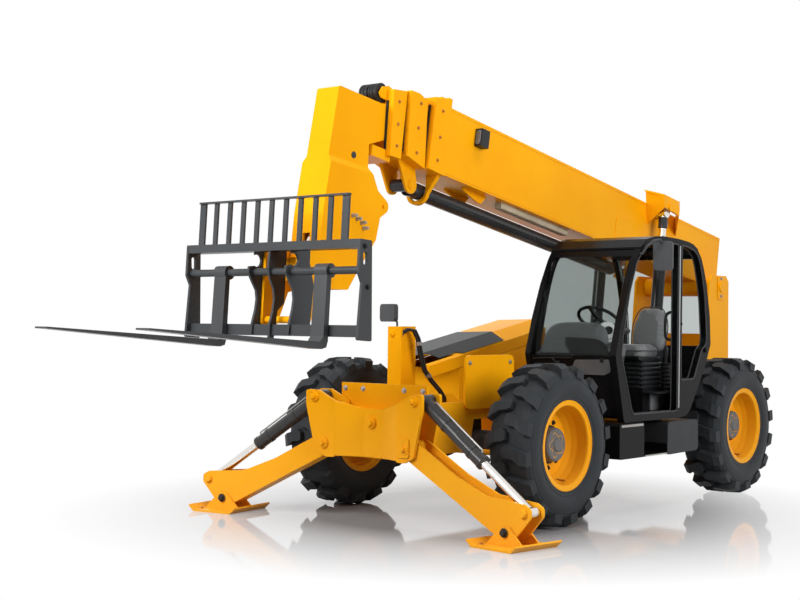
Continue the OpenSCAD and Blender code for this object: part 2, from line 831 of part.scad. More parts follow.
// A plate square to the boom, drawn across and up
module cross_plate(s, thick) {
  translate([s, 0, boom_mid_t])
    rotate([90, 0, 90])
      linear_extrude(thick)
        children();
}
// A flat panel between four corners, thickened by one vector
module panel(corners, thick) {
  hull()
    polyhedron(
      points = concat(corners, [for (p = corners) p + thick]),
      faces = [[0, 1, 2], [0, 2, 3], [6, 5, 4], [7, 6, 4],
        for (i = [0 : 3]) let (j = (i + 1) % 4) each [[i, i + 4, j + 4], [i, j + 4, j]]]);
}
module lift_yoke() {
  // Housing over the ram's upper eye: outer plate, sloping top, front panel and rear gusset
  top_in = boom_mid_t + 406;
  top_out = boom_mid_t + 353;
  side_in = outer_w / 2 - 4;
  side_out = 409;
  across(side_out - 24, side_out)
    polygon([[1292, top_out], [1016, top_out], [952, boom_mid_t + 294], [950, boom_mid_t + 215],
      [1262, boom_mid_t + 229]]);
  panel([[1310, side_in, top_in], [1292, side_out, top_out], [960, side_out, top_out],
    [960, side_in, top_in]], [0, 0, -16]);
  panel([[1289, side_in, top_in], [1208, side_in, boom_mid_t + 73],
    [1262, side_out, boom_mid_t + 229], [1292, side_out, top_out]], [-16, 0, 0]);
  panel([[960, side_out, top_out], [955, side_out, boom_mid_t + 200],
    [600, side_in, boom_mid_t + 85], [640, side_in, boom_mid_t + 270]], [14, 0, 0]);
  // Boss on the boom's side and the head of the pin
  translate([yoke_s, side_in, yoke_t])
    rotate([-90, 0, 0])
      cylinder(r = 72, h = 99);
  translate([yoke_s, side_out - 1, yoke_t + 40])
    rotate([-90, 0, 0])
      cylinder(r = lift_pin_r + 8, h = 15);
}
module boom_outer() {
  placed() color("orange")
    boom_place() {
      difference() {
        union() {
          section(tail_s, outer_len - 20, outer_w, outer_h, boom_mid_t, boom_wall);
          collar([[-210, -302], [1, -294], [3, 299], [-60, 299], [-70, 322], [-150, 322],
            [-160, 341], [-209, 341]], outer_w + 70, mid1_w + 2 * pad_gap,
            mid1_h + 2 * pad_gap, mid1_drop);
          // Pivot tube
          rotate([90, 0, 0])
            translate([0, 0, -rail_in + 4])
              cylinder(r = 95, h = 2 * rail_in - 8);
          translate([-95, -outer_w / 2, 0]) cube([190, outer_w, 60]);
        }
        rotate([90, 0, 0])
          translate([0, 0, -rail_in])
            cylinder(r = boom_pin_r, h = 2 * rail_in);
      }
      // Pin through the tower plates
      rotate([90, 0, 0])
        translate([0, 0, -rail_out - 2])
          cylinder(r = boom_pin_r, h = 2 * rail_out + 4);
      both_sides() lift_yoke();
      // Lifting lug on top
      across(-12, 12)
        translate([3420, boom_mid_t + outer_h / 2 - 1])
          difference() {
            polygon([[-90, 0], [90, 0], [45, 90], [-45, 90]]);
            translate([0, 45]) circle(r = 22);
          }
      // Strap that carries the extension ram's barrel under the mouth
      cross_plate(outer_len - 209, 40)
        difference() {
          union() {
            translate([0, -433]) circle(r = 108);
            polygon([[-200, -288], [-200, -300], [-107, -446], [107, -446], [200, -300],
              [200, -288]]);
          }
          union() {
            translate([0, -418]) circle(r = 90);
            polygon([[-78, -280], [-78, -300], [-90, -417], [90, -417], [78, -300], [78, -280]]);
          }
        }
      // Anchor of the extension ram below the boom
      for (y = [-70, 50])
        translate([ext_anchor_s - 60, y, ext_pin_t - 50])
          cube([120, 20, boom_mid_t - outer_h / 2 - ext_pin_t + 51]);
    }
}
module boom_lamp() {
  placed() color("black")
    boom_place()
      translate([4050, outer_w / 2 + 0.3, boom_mid_t + 60])
        cube([110, 70, 150]);
}
// A plate of the extension ram's clevis: a pointed arm from the collar down to a round end
module clevis_arm() {
  hull() {
    translate([ext_pin_s, ext_pin_t]) circle(r = 72);
    polygon([[outer_len + 20, boom_mid_t - 262], [outer_len + 238, boom_mid_t - 250],
      [outer_len + 238, boom_mid_t - 262]]);
  }
}
module boom_mid1() {
  placed() color("orange")
    boom_place() {
      section(150, outer_len + 220, mid1_w, mid1_h, boom_mid_t + mid1_drop, boom_wall);
      difference() {
        collar([[11, -299], [244, -251], [285, 269], [174, 276], [69, 245]], outer_w + 10,
          mid2_w + 2 * pad_gap, mid2_h + 2 * pad_gap, inner_drop);
        drum_place() cylinder(r = drum_r + 8, h = 212, center = true);
      }
      both_sides() {
        across(85, 105) clevis_arm();
        translate([ext_pin_s, 104, ext_pin_t])
          rotate([-90, 0, 0])
            cylinder(r = 42, h = 7);
        // Ear of the chain drum
        across(105.5, 118)
          polygon([[outer_len + 90, 560], [outer_len + 38, 588], [outer_len + 38, 612],
            [outer_len + 66, 622], [outer_len + 110, 600]]);
      }
      translate([ext_pin_s, -116, ext_pin_t])
        rotate([-90, 0, 0])
          cylinder(r = 28, h = 232);
      drum_place() cylinder(r = 12, h = 230, center = true);
    }
}
// Chain drum between the collars, and the ribbed rollers ahead of the second collar
drum_r = 38;
module drum_place() {
  translate([outer_len + 56, 0, boom_mid_t + 264])
    rotate([90, 0, 0])
      children();
}
module chain_drum() {
  placed() color("black")
    boom_place()
      drum_place()
        rotate_extrude()
          polygon([[12.1, -104], [drum_r, -104], [drum_r, -60], [drum_r - 6, -56],
            [drum_r - 6, 56], [drum_r, 60], [drum_r, 104], [12.1, 104]]);
}
roller_r = 76;
module roller_place() {
  translate([outer_len + 502, 0, boom_mid_t + 194])
    rotate([90, 0, 0])
      children();
}
module chain_rollers() {
  placed() color("black")
    boom_place()
      roller_place()
        for (z = [-46, 46])
          translate([0, 0, z])
            rotate_extrude()
              polygon([[14.1, -40], [roller_r, -40], [roller_r, -26], [roller_r - 6, -22],
                [roller_r - 6, -8], [roller_r, -4], [roller_r, 4], [roller_r - 6, 8],
                [roller_r - 6, 22], [roller_r, 26], [roller_r, 40], [14.1, 40]]);
}
module boom_mid2() {
  placed() color("orange")
    boom_place() {
      section(320, outer_len + 400, mid2_w, mid2_h, boom_mid_t + inner_drop, boom_wall);
      difference() {
        collar([[281, -290], [416, -296], [458, 227], [294, 260]], mid1_w + 10,
          inner_w + 2 * pad_gap, inner_h + 2 * pad_gap, inner_drop);
        roller_place() cylinder(r = roller_r + 8, h = 186, center = true);
      }
      // Carrier of the lower wear pad, under the head
      translate([outer_len + 360, -130, boom_mid_t - 336])
        cube([219, 260, 86]);
      // Ears of the chain rollers
      both_sides()
        across(94, 110)
          rounded(12)
            polygon([[outer_len + 350, boom_mid_t + 140], [outer_len + 350, boom_mid_t + 236],
              [outer_len + 454, boom_mid_t + 262], [outer_len + 520, boom_mid_t + 236],
              [outer_len + 548, boom_mid_t + 176], [outer_len + 516, boom_mid_t + 146]]);
      roller_place() cylinder(r = 14, h = 224, center = true);
    }
}

// Side outline of the boom's head in the machine's own frame
function head_outline() = [
  [3010, 3370], [2458, 3285], [2484, 3010], [2660, 2960], [2670, 2775], [2620, 2670],
  [2565, 2560], [2560, 2400], [2610, 2220], [2800, 2000],
  [2930, 1830], [3190, 1830], [3270, 1950], [3215, 2400], [3126, 2820]];
// Front outline of the head: narrow above, wider below a sloping band
module head_width() {
  narrow = inner_w / 2 + 2;
  wide = head_w / 2;
  translate([3100, 0, 2835])
    rotate([0, -7.4, 0])
      translate([-800, 0, 0])
        rotate([90, 0, 90])
          linear_extrude(1200)
            polygon([[-narrow, 700], [-wide + 35, 0], [-wide, -50], [-wide, -1300],
              [wide, -1300], [wide, -50], [wide - 35, 0], [narrow, 700]]);
}
module boom_nose() {
  placed() color("orange") {
    boom_place()
      section(480, outer_len + 494, inner_w, inner_h, boom_mid_t + inner_drop, boom_wall);
    difference() {
      intersection() {
        across(-head_w / 2 - 1, head_w / 2 + 1)
          rounded(20) polygon(head_outline());
        head_width();
      }
      // Room for the tilt ram, open below, with a slot in front for its rod
      across(-head_w / 2 + 18, head_w / 2 - 18)
        polygon([[3116, 2765], [2700, 2700], [2640, 2300], [2820, 2040],
          [2960, 1820], [2960, 1800], [3180, 1800], [3240, 1940], [3196, 2400]]);
      across(-inner_w / 2 + 14, inner_w / 2 - 14)
        polygon([[3075, 2960], [2700, 2940], [2700, 2680], [3116, 2745]]);
      across(-tilt_slot, tilt_slot)
        polygon([[3100, 1800], [3300, 1800], [3300, 2130], [3190, 2325], [3100, 2325]]);
      both_sides() pin_across(tilt_x, tilt_z, 50, 200, tilt_pin_r + run_gap);
      pin_across(tilt_ram_top[0], tilt_ram_top[1], -200, 200, 26 + run_gap);
    }
    both_sides() {
      // Bosses of the tilt pivot inside the head
      difference() {
        pin_across(tilt_x, tilt_z, 50, head_w / 2 - 10, 62);
        pin_across(tilt_x, tilt_z, 49, head_w / 2 - 9, tilt_pin_r + run_gap);
      }
      // Ear behind the head
      across(80, 112)
        hull() {
          translate([2478, 2492]) circle(r = 57);
          polygon([[2590, 2640], [2620, 2640], [2620, 2360], [2590, 2360]]);
        }
    }
    pin_across(2478, 2492, -124, 124, 15);
  }
}

module extension_barrel() {
  placed() color("black")
    boom_place()
      translate([0, 0, ext_pin_t])
        rotate([0, 90, 0])
          difference() {
            union() {
              translate([0, 0, ext_barrel_s])
                cylinder(r = ext_barrel_d / 2, h = ext_pin_s - ext_barrel_s - 80);
              translate([0, 0, ext_pin_s - 82]) cylinder(r = 44, h = 30);
              translate([0, -70, ext_pin_s]) rotate([-90, 0, 0]) cylinder(r = 52, h = 140);
              translate([-40, -40, ext_pin_s - 60]) cube([80, 80, 60]);
            }
            translate([0, -75, ext_pin_s])
              rotate([-90, 0, 0])
                cylinder(r = 28 + run_gap, h = 150);
            translate([0, 0, ext_barrel_s - 1]) cylinder(r = 40 + run_gap, h = 3150);
          }
}
module extension_rod() {
  placed() color("silver")
    boom_place()
      translate([0, 0, ext_pin_t])
        rotate([0, 90, 0]) {
          translate([0, 0, ext_anchor_s]) cylinder(r = 40, h = 3300);
          translate([0, -49.7, ext_anchor_s]) rotate([-90, 0, 0]) cylinder(r = 48, h = 99.4);
        }
}

// Lift rams stand from the chassis to the yokes; their own Z runs along the ram.
module lift_place(side) {
  on_side(side)
    translate([lift_base_x, lift_y, lift_base_z])
      rotate([0, lift_lean, 0])
        children();
}
module lift_barrels() {
  placed() color("black")
    for (side = [-1, 1])
      lift_place(side)
        difference() {
          union() {
            rotate([90, 0, 0]) translate([0, 0, -55]) cylinder(r = 68, h = 110);
            translate([0, 0, 40]) cylinder(r = lift_barrel_d / 2, h = lift_barrel_len - 40);
            rotate([90, 0, 0])
              translate([0, 0, -rail_out + lift_y])
                cylinder(r = lift_pin_r, h = rail_out - 258);
          }
          translate([0, 0, 90]) cylinder(r = lift_rod_d / 2 + run_gap, h = lift_barrel_len);
        }
}
module lift_rods() {
  placed() color("silver")
    for (side = [-1, 1])
      lift_place(side) {
        translate([0, 0, 300]) cylinder(r = lift_rod_d / 2, h = lift_len - 300);
        translate([0, 0, lift_len])
          rotate([90, 0, 0])
            translate([0, 0, -38])
              cylinder(r = 60, h = 76);
      }
}

module tilt_place() {
  translate([tilt_ram_top[0], 0, tilt_ram_top[1]])
    rotate([0, 90 - tilt_ram_angle, 0])
      children();
}
module tilt_barrel() {
  placed() color("black")
    tilt_place()
      difference() {
        union() {
          rotate([90, 0, 0]) translate([0, 0, -60]) cylinder(r = 46, h = 120);
          translate([0, 0, 30]) cylinder(r = 44, h = 540);
          rotate([90, 0, 0])
            translate([0, 0, -inner_w / 2 - 6])
              cylinder(r = 26, h = inner_w + 12);
        }
        translate([0, 0, 70]) cylinder(r = 26 + run_gap, h = 540);
      }
}
module tilt_rod() {
  placed() color("silver")
    tilt_place() {
      translate([0, 0, 170]) cylinder(r = 26, h = tilt_ram_len - 170);
      translate([0, 0, tilt_ram_len])
        rotate([90, 0, 0])
          translate([0, 0, -40])
            cylinder(r = 38, h = 80);
    }
}

// Carriage parts stand in the carriage's own frame: origin at the tilt pivot.
module carriage_place() {
  translate([tilt_x, 0, tilt_z])
    rotate([0, -carriage_tilt, 0])
      children();
}
module quick_attach() {
  placed() color("orange")
    carriage_place() {
      both_sides()
        difference() {
          across(head_w / 2 + 6, head_w / 2 + 28)
            rounded(24)
              polygon([[-95, -90], [95, -140], [200, -400], [350, -400], [350, 205], [150, 215],
                [-60, 95]]);
          pin_across(0, 0, 0, 300, tilt_pin_r - 1);
        }
      both_sides() pin_across(0, 0, 52, head_w / 2 + 40, tilt_pin_r);
      // Lugs that take the tilt ram's rod
      both_sides() {
        across(45, 65)
          hull() {
            translate([tilt_arm, 0]) circle(r = 42);
            translate([250, -70]) square([20, 160]);
          }
        pin_across(tilt_arm, 0, 64, 78, 24);
      }
      block(250, 270, -head_w / 2 - 10, head_w / 2 + 10, -70, 100);
      pin_across(305, -360, -head_w / 2 - 30, head_w / 2 + 30, 26);
    }
}
// Outline of an outer centre plate of the carriage: a bay below the rail, a hook ahead of the
// shaft and a waved front edge
function hook_plate() = concat(
  [[391, 126], [432, 126]],
  [for (a = [60 : 20 : 300]) [412 + 46 * cos(a), 66 + 46 * sin(a)]],
  [[488, 18], [492, -30], [450, -90], [405, -150], [392, -214], [400, -290], [428, -400],
    [432, -470], [300, -475], [215, -430], [195, -100], [249, 60], [249, 186], [391, 186]]);
function middle_plate() = [
  [470, 130], [480, 0], [462, -60], [415, -140], [400, -214], [408, -300], [436, -400], [436, -510],
  [412, -528], [392, -510], [376, -440], [366, -300], [300, -240], [300, 186], [391, 186], [391, 129]];
module carriage() {
  rail_low = 128;
  rail_top = 190;
  guard_top = 511;
  placed() color("dimgray")
    carriage_place() {
      // Top and bottom rails and the fork shaft
      block(390, 478, -carriage_w / 2, carriage_w / 2, rail_low, rail_top);
      block(350, shank_x - 6, -carriage_w / 2, carriage_w / 2, -480, -400);
      pin_across(shank_x + 4, -20, -carriage_w / 2 + 2, carriage_w / 2 - 2, 28);
      both_sides() {
        // End plate with its slot
        across(carriage_w / 2 - 22, carriage_w / 2)
          difference() {
            rounded(14)
              polygon([[310, -505], [458, -505], [440, -110], [480, -40], [480, rail_top],
                [358, rail_top]]);
            rounded(20)
              polygon([[402, 106], [446, 106], [436, 12], [396, 12]]);
          }
        across(head_w / 2 + 30, head_w / 2 + 50) polygon(hook_plate());
      }
      across(-10, 10) rounded(8) polygon(middle_plate());
      // Load guard: wide end bars, narrow ones between them and a thin top bar
      block(456, 490, -guard_w / 2, guard_w / 2, guard_top - 14, guard_top);
      for (i = [0 : guard_bars - 1]) {
        half = i == 0 || i == guard_bars - 1 ? 30 : 20;
        translate([0, -guard_w / 2 + 30 + i * (guard_w - 60) / (guard_bars - 1), 0])
          block(460, 477, -half, half, rail_top - 1, guard_top - 13);
      }
    }
}
module fork(side) {
  placed() color("dimgray")
    on_side(side)
      carriage_place()
        difference() {
          union() {
            across(fork_y - fork_w / 2, fork_y + fork_w / 2)
              polygon([[shank_x, heel_z + 60], [shank_x + 14, heel_z + 14], [shank_x + 60, heel_z],
                [shank_x + fork_t + fork_len, heel_z + 34], [shank_x + fork_t + fork_len, heel_z + 46],
                [shank_x + fork_t + 30, heel_z + fork_t], [shank_x + fork_t, heel_z + fork_t + 40],
                [shank_x + fork_t - 8, 20], [shank_x, 20]]);
            pin_across(shank_x + 4, -20, fork_y - fork_w / 2, fork_y + fork_w / 2, 52);
          }
          pin_across(shank_x + 4, -20, fork_y - fork_w, fork_y + fork_w, 28 + run_gap * 6);
        }
}

// Stabiliser leg: a channel open at the top, flared to the ears of its ram and foot
function leg_outline() = [
  [-40, leg_pin_z - 72], [40, leg_pin_z + 78], [500, 470], [820, 350], [1190, 322], [1250, 290],
  [1250, 230], [1120, 90], [1060, 50], [970, 50]];
module leg(side) {
  placed() color("orange")
    on_side(side)
      leg_place() {
        difference() {
          union() {
            for (x = [-leg_w / 2, leg_w / 2 - leg_plate])
              leg_plate_at(x, x + leg_plate) rounded(30) polygon(leg_outline());
            leg_plate_at(-leg_w / 2 + 1, leg_w / 2 - 1)
              polygon([[20, leg_pin_z - 104], [970, 52], [1000, 62], [30, leg_pin_z - 84]]);
            leg_pin([0, leg_pin_z], -leg_w / 2, leg_w / 2, 62);
          }
          leg_pin(foot_pin, -leg_w, leg_w, 24 + run_gap);
        }
        leg_pin([0, leg_pin_z], -wing_x - wing_t - 1, wing_x + wing_t + 1, leg_pin_r);
        for (x = [-leg_w / 2 - 14, leg_w / 2])
          leg_pin(rod_pin, x, x + 14, 34);
      }
}
module foot(side) {
  placed() color("orange")
    on_side(side)
      leg_place() {
        // Sole with its ends turned up
        leg_plate_at(-pad_w / 2, pad_w / 2)
          polygon([[foot_pin[0] - pad_len / 2, 45], [foot_pin[0] - pad_len / 2 + 50, 0],
            [foot_pin[0] + pad_len / 2 - 50, 0], [foot_pin[0] + pad_len / 2, 45],
            [foot_pin[0] + pad_len / 2 - 8, 55], [foot_pin[0] + pad_len / 2 - 56, 16],
            [foot_pin[0] - pad_len / 2 + 56, 16], [foot_pin[0] - pad_len / 2 + 8, 55]]);
        for (x = [-leg_w / 2 - 22, leg_w / 2 + 6])
          leg_plate_at(x, x + 16)
            rounded(12)
              polygon([[foot_pin[0] - 196, 2], [foot_pin[0] + 196, 2], [foot_pin[0] + 36, 152],
                [foot_pin[0] - 36, 152]]);
        leg_pin(foot_pin, -leg_w / 2 - 30, leg_w / 2 + 30, 24);
      }
}
module ram_place() {
  leg_place()
    translate([0, ram_pin[0], ram_pin[1]])
      rotate([leg_ram_angle, 0, 0])
        rotate([-90, 0, 0])
          children();
}
module leg_barrel(side) {
  placed() color("black")
    on_side(side)
      ram_place()
        difference() {
          union() {
            rotate([0, 90, 0]) translate([0, 0, -wing_x + 5]) cylinder(r = 50, h = 2 * wing_x - 10);
            translate([0, 0, 30]) cylinder(r = leg_ram_d / 2, h = leg_barrel_len - 30);
            rotate([0, 90, 0])
              translate([0, 0, -wing_x - wing_t - 2])
                cylinder(r = ram_pin_r, h = 2 * (wing_x + wing_t + 2));
          }
          translate([0, 0, 80]) cylinder(r = leg_rod_r + run_gap, h = leg_barrel_len);
        }
}
module leg_rod(side) {
  placed() color("silver")
    on_side(side)
      ram_place() {
        translate([0, 0, 560]) cylinder(r = leg_rod_r, h = leg_ram_len - 560);
        translate([0, 0, leg_ram_len])
          rotate([0, 90, 0])
            translate([0, 0, -leg_w / 2 + leg_plate + 8])
              cylinder(r = 40, h = leg_w - 2 * leg_plate - 16);
      }
}

module knuckle_front_left() { knuckle(1, 1); }
module knuckle_front_right() { knuckle(1, -1); }
module knuckle_rear_left() { knuckle(-1, 1); }
module knuckle_rear_right() { knuckle(-1, -1); }
module rim_front_left() { rim(1, 1); }
module rim_front_right() { rim(1, -1); }
module rim_rear_left() { rim(-1, 1); }
module rim_rear_right() { rim(-1, -1); }
module tyre_front_left() { tyre(1, 1); }
module tyre_front_right() { tyre(1, -1); }
module tyre_rear_left() { tyre(-1, 1); }
module tyre_rear_right() { tyre(-1, -1); }
module fork_left() { fork(1); }
module fork_right() { fork(-1); }
module leg_left() { leg(1); }
module leg_right() { leg(-1); }
module foot_left() { foot(1); }
module foot_right() { foot(-1); }
module leg_barrel_left() { leg_barrel(1); }
module leg_barrel_right() { leg_barrel(-1); }
module leg_rod_left() { leg_rod(1); }
module leg_rod_right() { leg_rod(-1); }

chassis_frame();
stabiliser_frame();
engine_block();
engine_pod();
engine_cover();
hood_moulding();
fuel_tank();
cab_steps();
axles();
cab_frame();
cab_roof();
cab_glass();
cab_console();
seat();
steering_wheel();
mirrors();
front_hoses();
rear_lamps();
tow_hitch();
knuckle_front_left();
knuckle_front_right();
knuckle_rear_left();
knuckle_rear_right();
rim_front_left();
rim_front_right();
rim_rear_left();
rim_rear_right();
tyre_front_left();
tyre_front_right();
tyre_rear_left();
tyre_rear_right();
boom_outer();
boom_lamp();
boom_mid1();
chain_drum();
boom_mid2();
chain_rollers();
boom_nose();
extension_barrel();
extension_rod();
lift_barrels();
lift_rods();
tilt_barrel();
tilt_rod();
quick_attach();
carriage();
fork_left();
fork_right();
leg_left();
leg_right();
foot_left();
foot_right();
leg_barrel_left();
leg_barrel_right();
leg_rod_left();
leg_rod_right();
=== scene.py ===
import math

import bpy
import numpy as np
from mathutils import Matrix, Vector


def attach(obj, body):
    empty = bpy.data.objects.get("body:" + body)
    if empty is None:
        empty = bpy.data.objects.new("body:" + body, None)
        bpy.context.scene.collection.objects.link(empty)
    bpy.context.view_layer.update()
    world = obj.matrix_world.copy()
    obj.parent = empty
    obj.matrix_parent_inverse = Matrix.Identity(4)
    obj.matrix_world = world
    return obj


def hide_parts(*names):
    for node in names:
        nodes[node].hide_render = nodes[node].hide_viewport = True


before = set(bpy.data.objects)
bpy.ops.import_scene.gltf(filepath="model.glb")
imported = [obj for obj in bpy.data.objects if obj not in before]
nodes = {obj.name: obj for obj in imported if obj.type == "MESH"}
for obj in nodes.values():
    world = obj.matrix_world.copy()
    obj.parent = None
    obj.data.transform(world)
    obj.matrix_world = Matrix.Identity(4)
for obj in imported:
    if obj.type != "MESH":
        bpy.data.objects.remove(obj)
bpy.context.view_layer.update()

row_shift = 1.073043  # the frame's origin lies this far ahead of the middle between the axles

# Viewpoint
# A long lens at chest height, off the machine's left front corner, as the studio picture was taken.
# The camera leans back slightly and is turned a little on its own axis.
yaw, pitch, roll = 0.686595, 0.016121, 0.009758
stand = (10.832239 - row_shift, 7.132834, 1.587463)
ahead = np.array([-math.cos(yaw) * math.cos(pitch), -math.sin(yaw) * math.cos(pitch), math.sin(pitch)])
level = np.cross(ahead, [0, 0, 1])
level /= np.linalg.norm(level)
upward = np.cross(level, ahead)
cam_right = level * math.cos(roll) + upward * math.sin(roll)
cam_up = upward * math.cos(roll) - level * math.sin(roll)
cam_data = bpy.data.cameras.new("studio_camera")
cam_data.sensor_width = 36.0
cam_data.lens = 62.984
cam_data.clip_end = 200.0
camera = bpy.data.objects.new("studio_camera", cam_data)
bpy.context.scene.collection.objects.link(camera)
cam_axes = np.column_stack([cam_right, cam_up, -ahead])
camera.matrix_world = Matrix([[*way, place] for way, place in zip(cam_axes, stand)] + [[0, 0, 0, 1]])
bpy.context.scene.camera = camera
bpy.context.scene.view_settings.view_transform = "Standard"


# Studio
# A polished floor, white further out, under soft boxes: one broad key in front, a roof of light, and fills at
# the sides.
# Around the machine the floor is a mid grey that is painted shade; it mirrors the machine a little and runs
# out into the white of the backdrop.
def grid_quads(rows, cols, wrap_rows=False, wrap_cols=False):
    """Corner numbers of the quads of a rows x cols grid; a wrapped side joins its last line to its first."""
    i = np.arange(rows if wrap_rows else rows - 1)[:, None]
    j = np.arange(cols if wrap_cols else cols - 1)[None, :]
    i2, j2 = (i + 1) % rows, (j + 1) % cols
    return np.stack([i * cols + j, i * cols + j2, i2 * cols + j2, i2 * cols + j], axis=-1).reshape(-1, 4)


def mesh_piece(name, shells, material, smooth=0.6):
    """Puts shells, each (points, list of face arrays), into one mesh object; faces that meet flatter than
    smooth radians shade as one surface."""
    points, faces, base = [], [], 0
    for pts, face_sets in shells:
        pts = np.asarray(pts, float).reshape(-1, 3)
        points.append(pts)
        for block in face_sets:
            faces.extend((np.asarray(block, int) + base).tolist())
        base += len(pts)
    mesh = bpy.data.meshes.new(name)
    mesh.from_pydata(np.vstack(points), [], faces)
    mesh.materials.append(material)
    mesh.validate()
    mesh.update()
    mesh.polygons.foreach_set("use_smooth", np.ones(len(mesh.polygons), bool))
    mesh.set_sharp_from_angle(angle=smooth)
    obj = bpy.data.objects.new(name, mesh)
    bpy.context.scene.collection.objects.link(obj)
    return obj


class NodeWork:
    """The nodes of one material or of the world, as they are added and joined."""

    def __init__(self, owner):
        owner.use_nodes = True
        self.owner, self.nodes, self.link = owner, owner.node_tree.nodes, owner.node_tree.links.new
        self.place = None

    def add(self, kind, **settings):
        """A new node; a setting names one of its inputs or else one of its properties."""
        node = self.nodes.new("ShaderNode" + kind)
        for key, value in settings.items():
            if key in node.inputs:
                node.inputs[key].default_value = value
            else:
                setattr(node, key, value)
        return node

    def feed(self, socket, value):
        """Leads a value into a socket of the material's shader."""
        self.link(value, self.nodes["Principled BSDF"].inputs[socket])

    def here(self):
        """The Object coordinates of the point that is shaded."""
        if self.place is None:
            self.place = self.add("TexCoord").outputs["Object"]
        return self.place

    def height(self):
        """How high above the ground that point lies."""
        split = self.add("SeparateXYZ")
        self.link(self.here(), split.inputs[0])
        return split.outputs["Z"]

    def texture(self, kind, **settings):
        """The grey value of a texture on Object coordinates."""
        node = self.add("Tex" + kind, **settings)
        self.link(self.here(), node.inputs["Vector"])
        return node.outputs["Fac"]

    def combined(self, operation, first, second):
        """Two values joined by one operation."""
        node = self.add("Math", operation=operation)
        self.link(first, node.inputs[0])
        self.link(second, node.inputs[1])
        return node.outputs[0]

    def stretched(self, value, low, high, start=0.0, end=1.0):
        """A value that runs from start to end, mapped to run from low to high."""
        node = self.add("MapRange", **{"From Min": start, "From Max": end, "To Min": low, "To Max": high})
        self.link(value, node.inputs["Value"])
        return node.outputs["Result"]

    def mixed(self, share, first, second):
        """A mix of two colours, each a plain one or another node's result."""
        node = self.add("Mix", data_type="RGBA")
        for socket, colour in (("A", first), ("B", second)):
            if isinstance(colour, tuple):
                node.inputs[socket].default_value = (*colour, 1)
            else:
                self.link(colour, node.inputs[socket])
        self.link(share, node.inputs["Factor"])
        return node.outputs["Result"]

    def layered(self, share, first, second, output):
        """A mix of two shaders, led to the named output."""
        node = self.add("MixShader")
        for socket, value in (("Fac", share), (1, first), (2, second)):
            self.link(value, node.inputs[socket])
        self.link(node.outputs[0], self.nodes[output].inputs["Surface"])

    def open_ray(self):
        """1 on rays that the camera, a gloss or a pane sends out, and 0 on those that light the machine."""
        ray = self.add("LightPath").outputs
        mirrored = self.combined("MAXIMUM", ray["Is Camera Ray"], ray["Is Glossy Ray"])
        return self.combined("MAXIMUM", mirrored, ray["Is Transmission Ray"])

    def relief(self, height, strength, distance):
        """Fine relief in the shader's normal."""
        node = self.add("Bump", Strength=strength, Distance=distance)
        self.link(height, node.inputs["Height"])
        self.feed("Normal", node.outputs["Normal"])


def new_finish(name, **plain):
    """A new material; plain gives its shader's even values, with an underscore for a space in their names."""
    work = NodeWork(bpy.data.materials.new(name))
    for socket, value in plain.items():
        work.nodes["Principled BSDF"].inputs[socket.replace("_", " ")].default_value = value
    return work


painted_shade_fade_from, painted_shade_fade_to = 1.5, 3.6  # metres from the middle between which the floor's painted shade turns into the white backdrop
# The floor's mid grey base colour is painted shade around the machine; further out it turns white.
floor = new_finish("studio_floor", Base_Color=(0.36, 0.352, 0.355, 1), Roughness=0.05, Specular_IOR_Level=0.5)
glow = floor.add("Emission", Strength=1.0, Color=(1, 1, 1, 1))
distance = floor.add("VectorMath", operation="LENGTH")
floor.link(floor.here(), distance.inputs[0])
fade = floor.stretched(distance.outputs["Value"], 0.0, 1.0, painted_shade_fade_from, painted_shade_fade_to)
white_share = floor.combined("MULTIPLY", floor.open_ray(), fade)
floor.layered(white_share, floor.nodes["Principled BSDF"].outputs[0], glow.outputs[0], "Material Output")
radius = np.array([0.0, 3.0, 6.0, 12.0, 30.0, 60.0])
turn = np.linspace(0, 2 * np.pi, 48, endpoint=False)
disc = np.stack([radius[:, None] * np.cos(turn), radius[:, None] * np.sin(turn), np.zeros((6, 48))], axis=-1)
mesh_piece("studio_floor", [(disc, [grid_quads(6, 48, wrap_cols=True)[:, ::-1]])], floor.owner)

world = bpy.data.worlds.new("studio_world")
bpy.context.scene.world = world
sky = NodeWork(world)
ambient = sky.nodes["Background"]
ambient.inputs["Color"].default_value = (0.96, 0.98, 1.0, 1)
ambient.inputs["Strength"].default_value = 0.18
white = sky.add("Background", Color=(1, 1, 1, 1), Strength=1.0)
sky.layered(sky.open_ray(), ambient.outputs[0], white.outputs[0], "World Output")


def soft_box(name, place, aim, width, height, watts, mirrored=False):
    """A rectangular studio lamp at place, turned to face aim; gloss shows it only where mirrored."""
    lamp = bpy.data.lights.new(name, "AREA")
    lamp.shape = "RECTANGLE"
    lamp.size, lamp.size_y, lamp.energy = width, height, watts
    obj = bpy.data.objects.new(name, lamp)
    bpy.context.scene.collection.objects.link(obj)
    obj.location = place
    obj.rotation_mode = "QUATERNION"
    obj.rotation_quaternion = (Vector(aim) - Vector(place)).to_track_quat("-Z", "Y")
    obj.visible_glossy = mirrored


soft_box("key_box", (8.5, -1.5, 5.5), (0.5, 0.0, 1.5), 5.0, 3.5, 860, True)
soft_box("roof_box", (-1.0, 1.0, 8.5), (-1.0, 0.3, 0.0), 9.0, 6.0, 460)
soft_box("left_fill", (0.5, 9.0, 4.0), (-0.5, 0.0, 1.4), 6.0, 4.0, 590)
soft_box("right_fill", (-2.0, -9.0, 3.5), (-0.5, 0.0, 1.4), 6.0, 4.0, 300)
soft_box("tail_fill", (-10.0, 0.5, 3.5), (-2.0, 0.0, 1.5), 5.0, 3.5, 260)


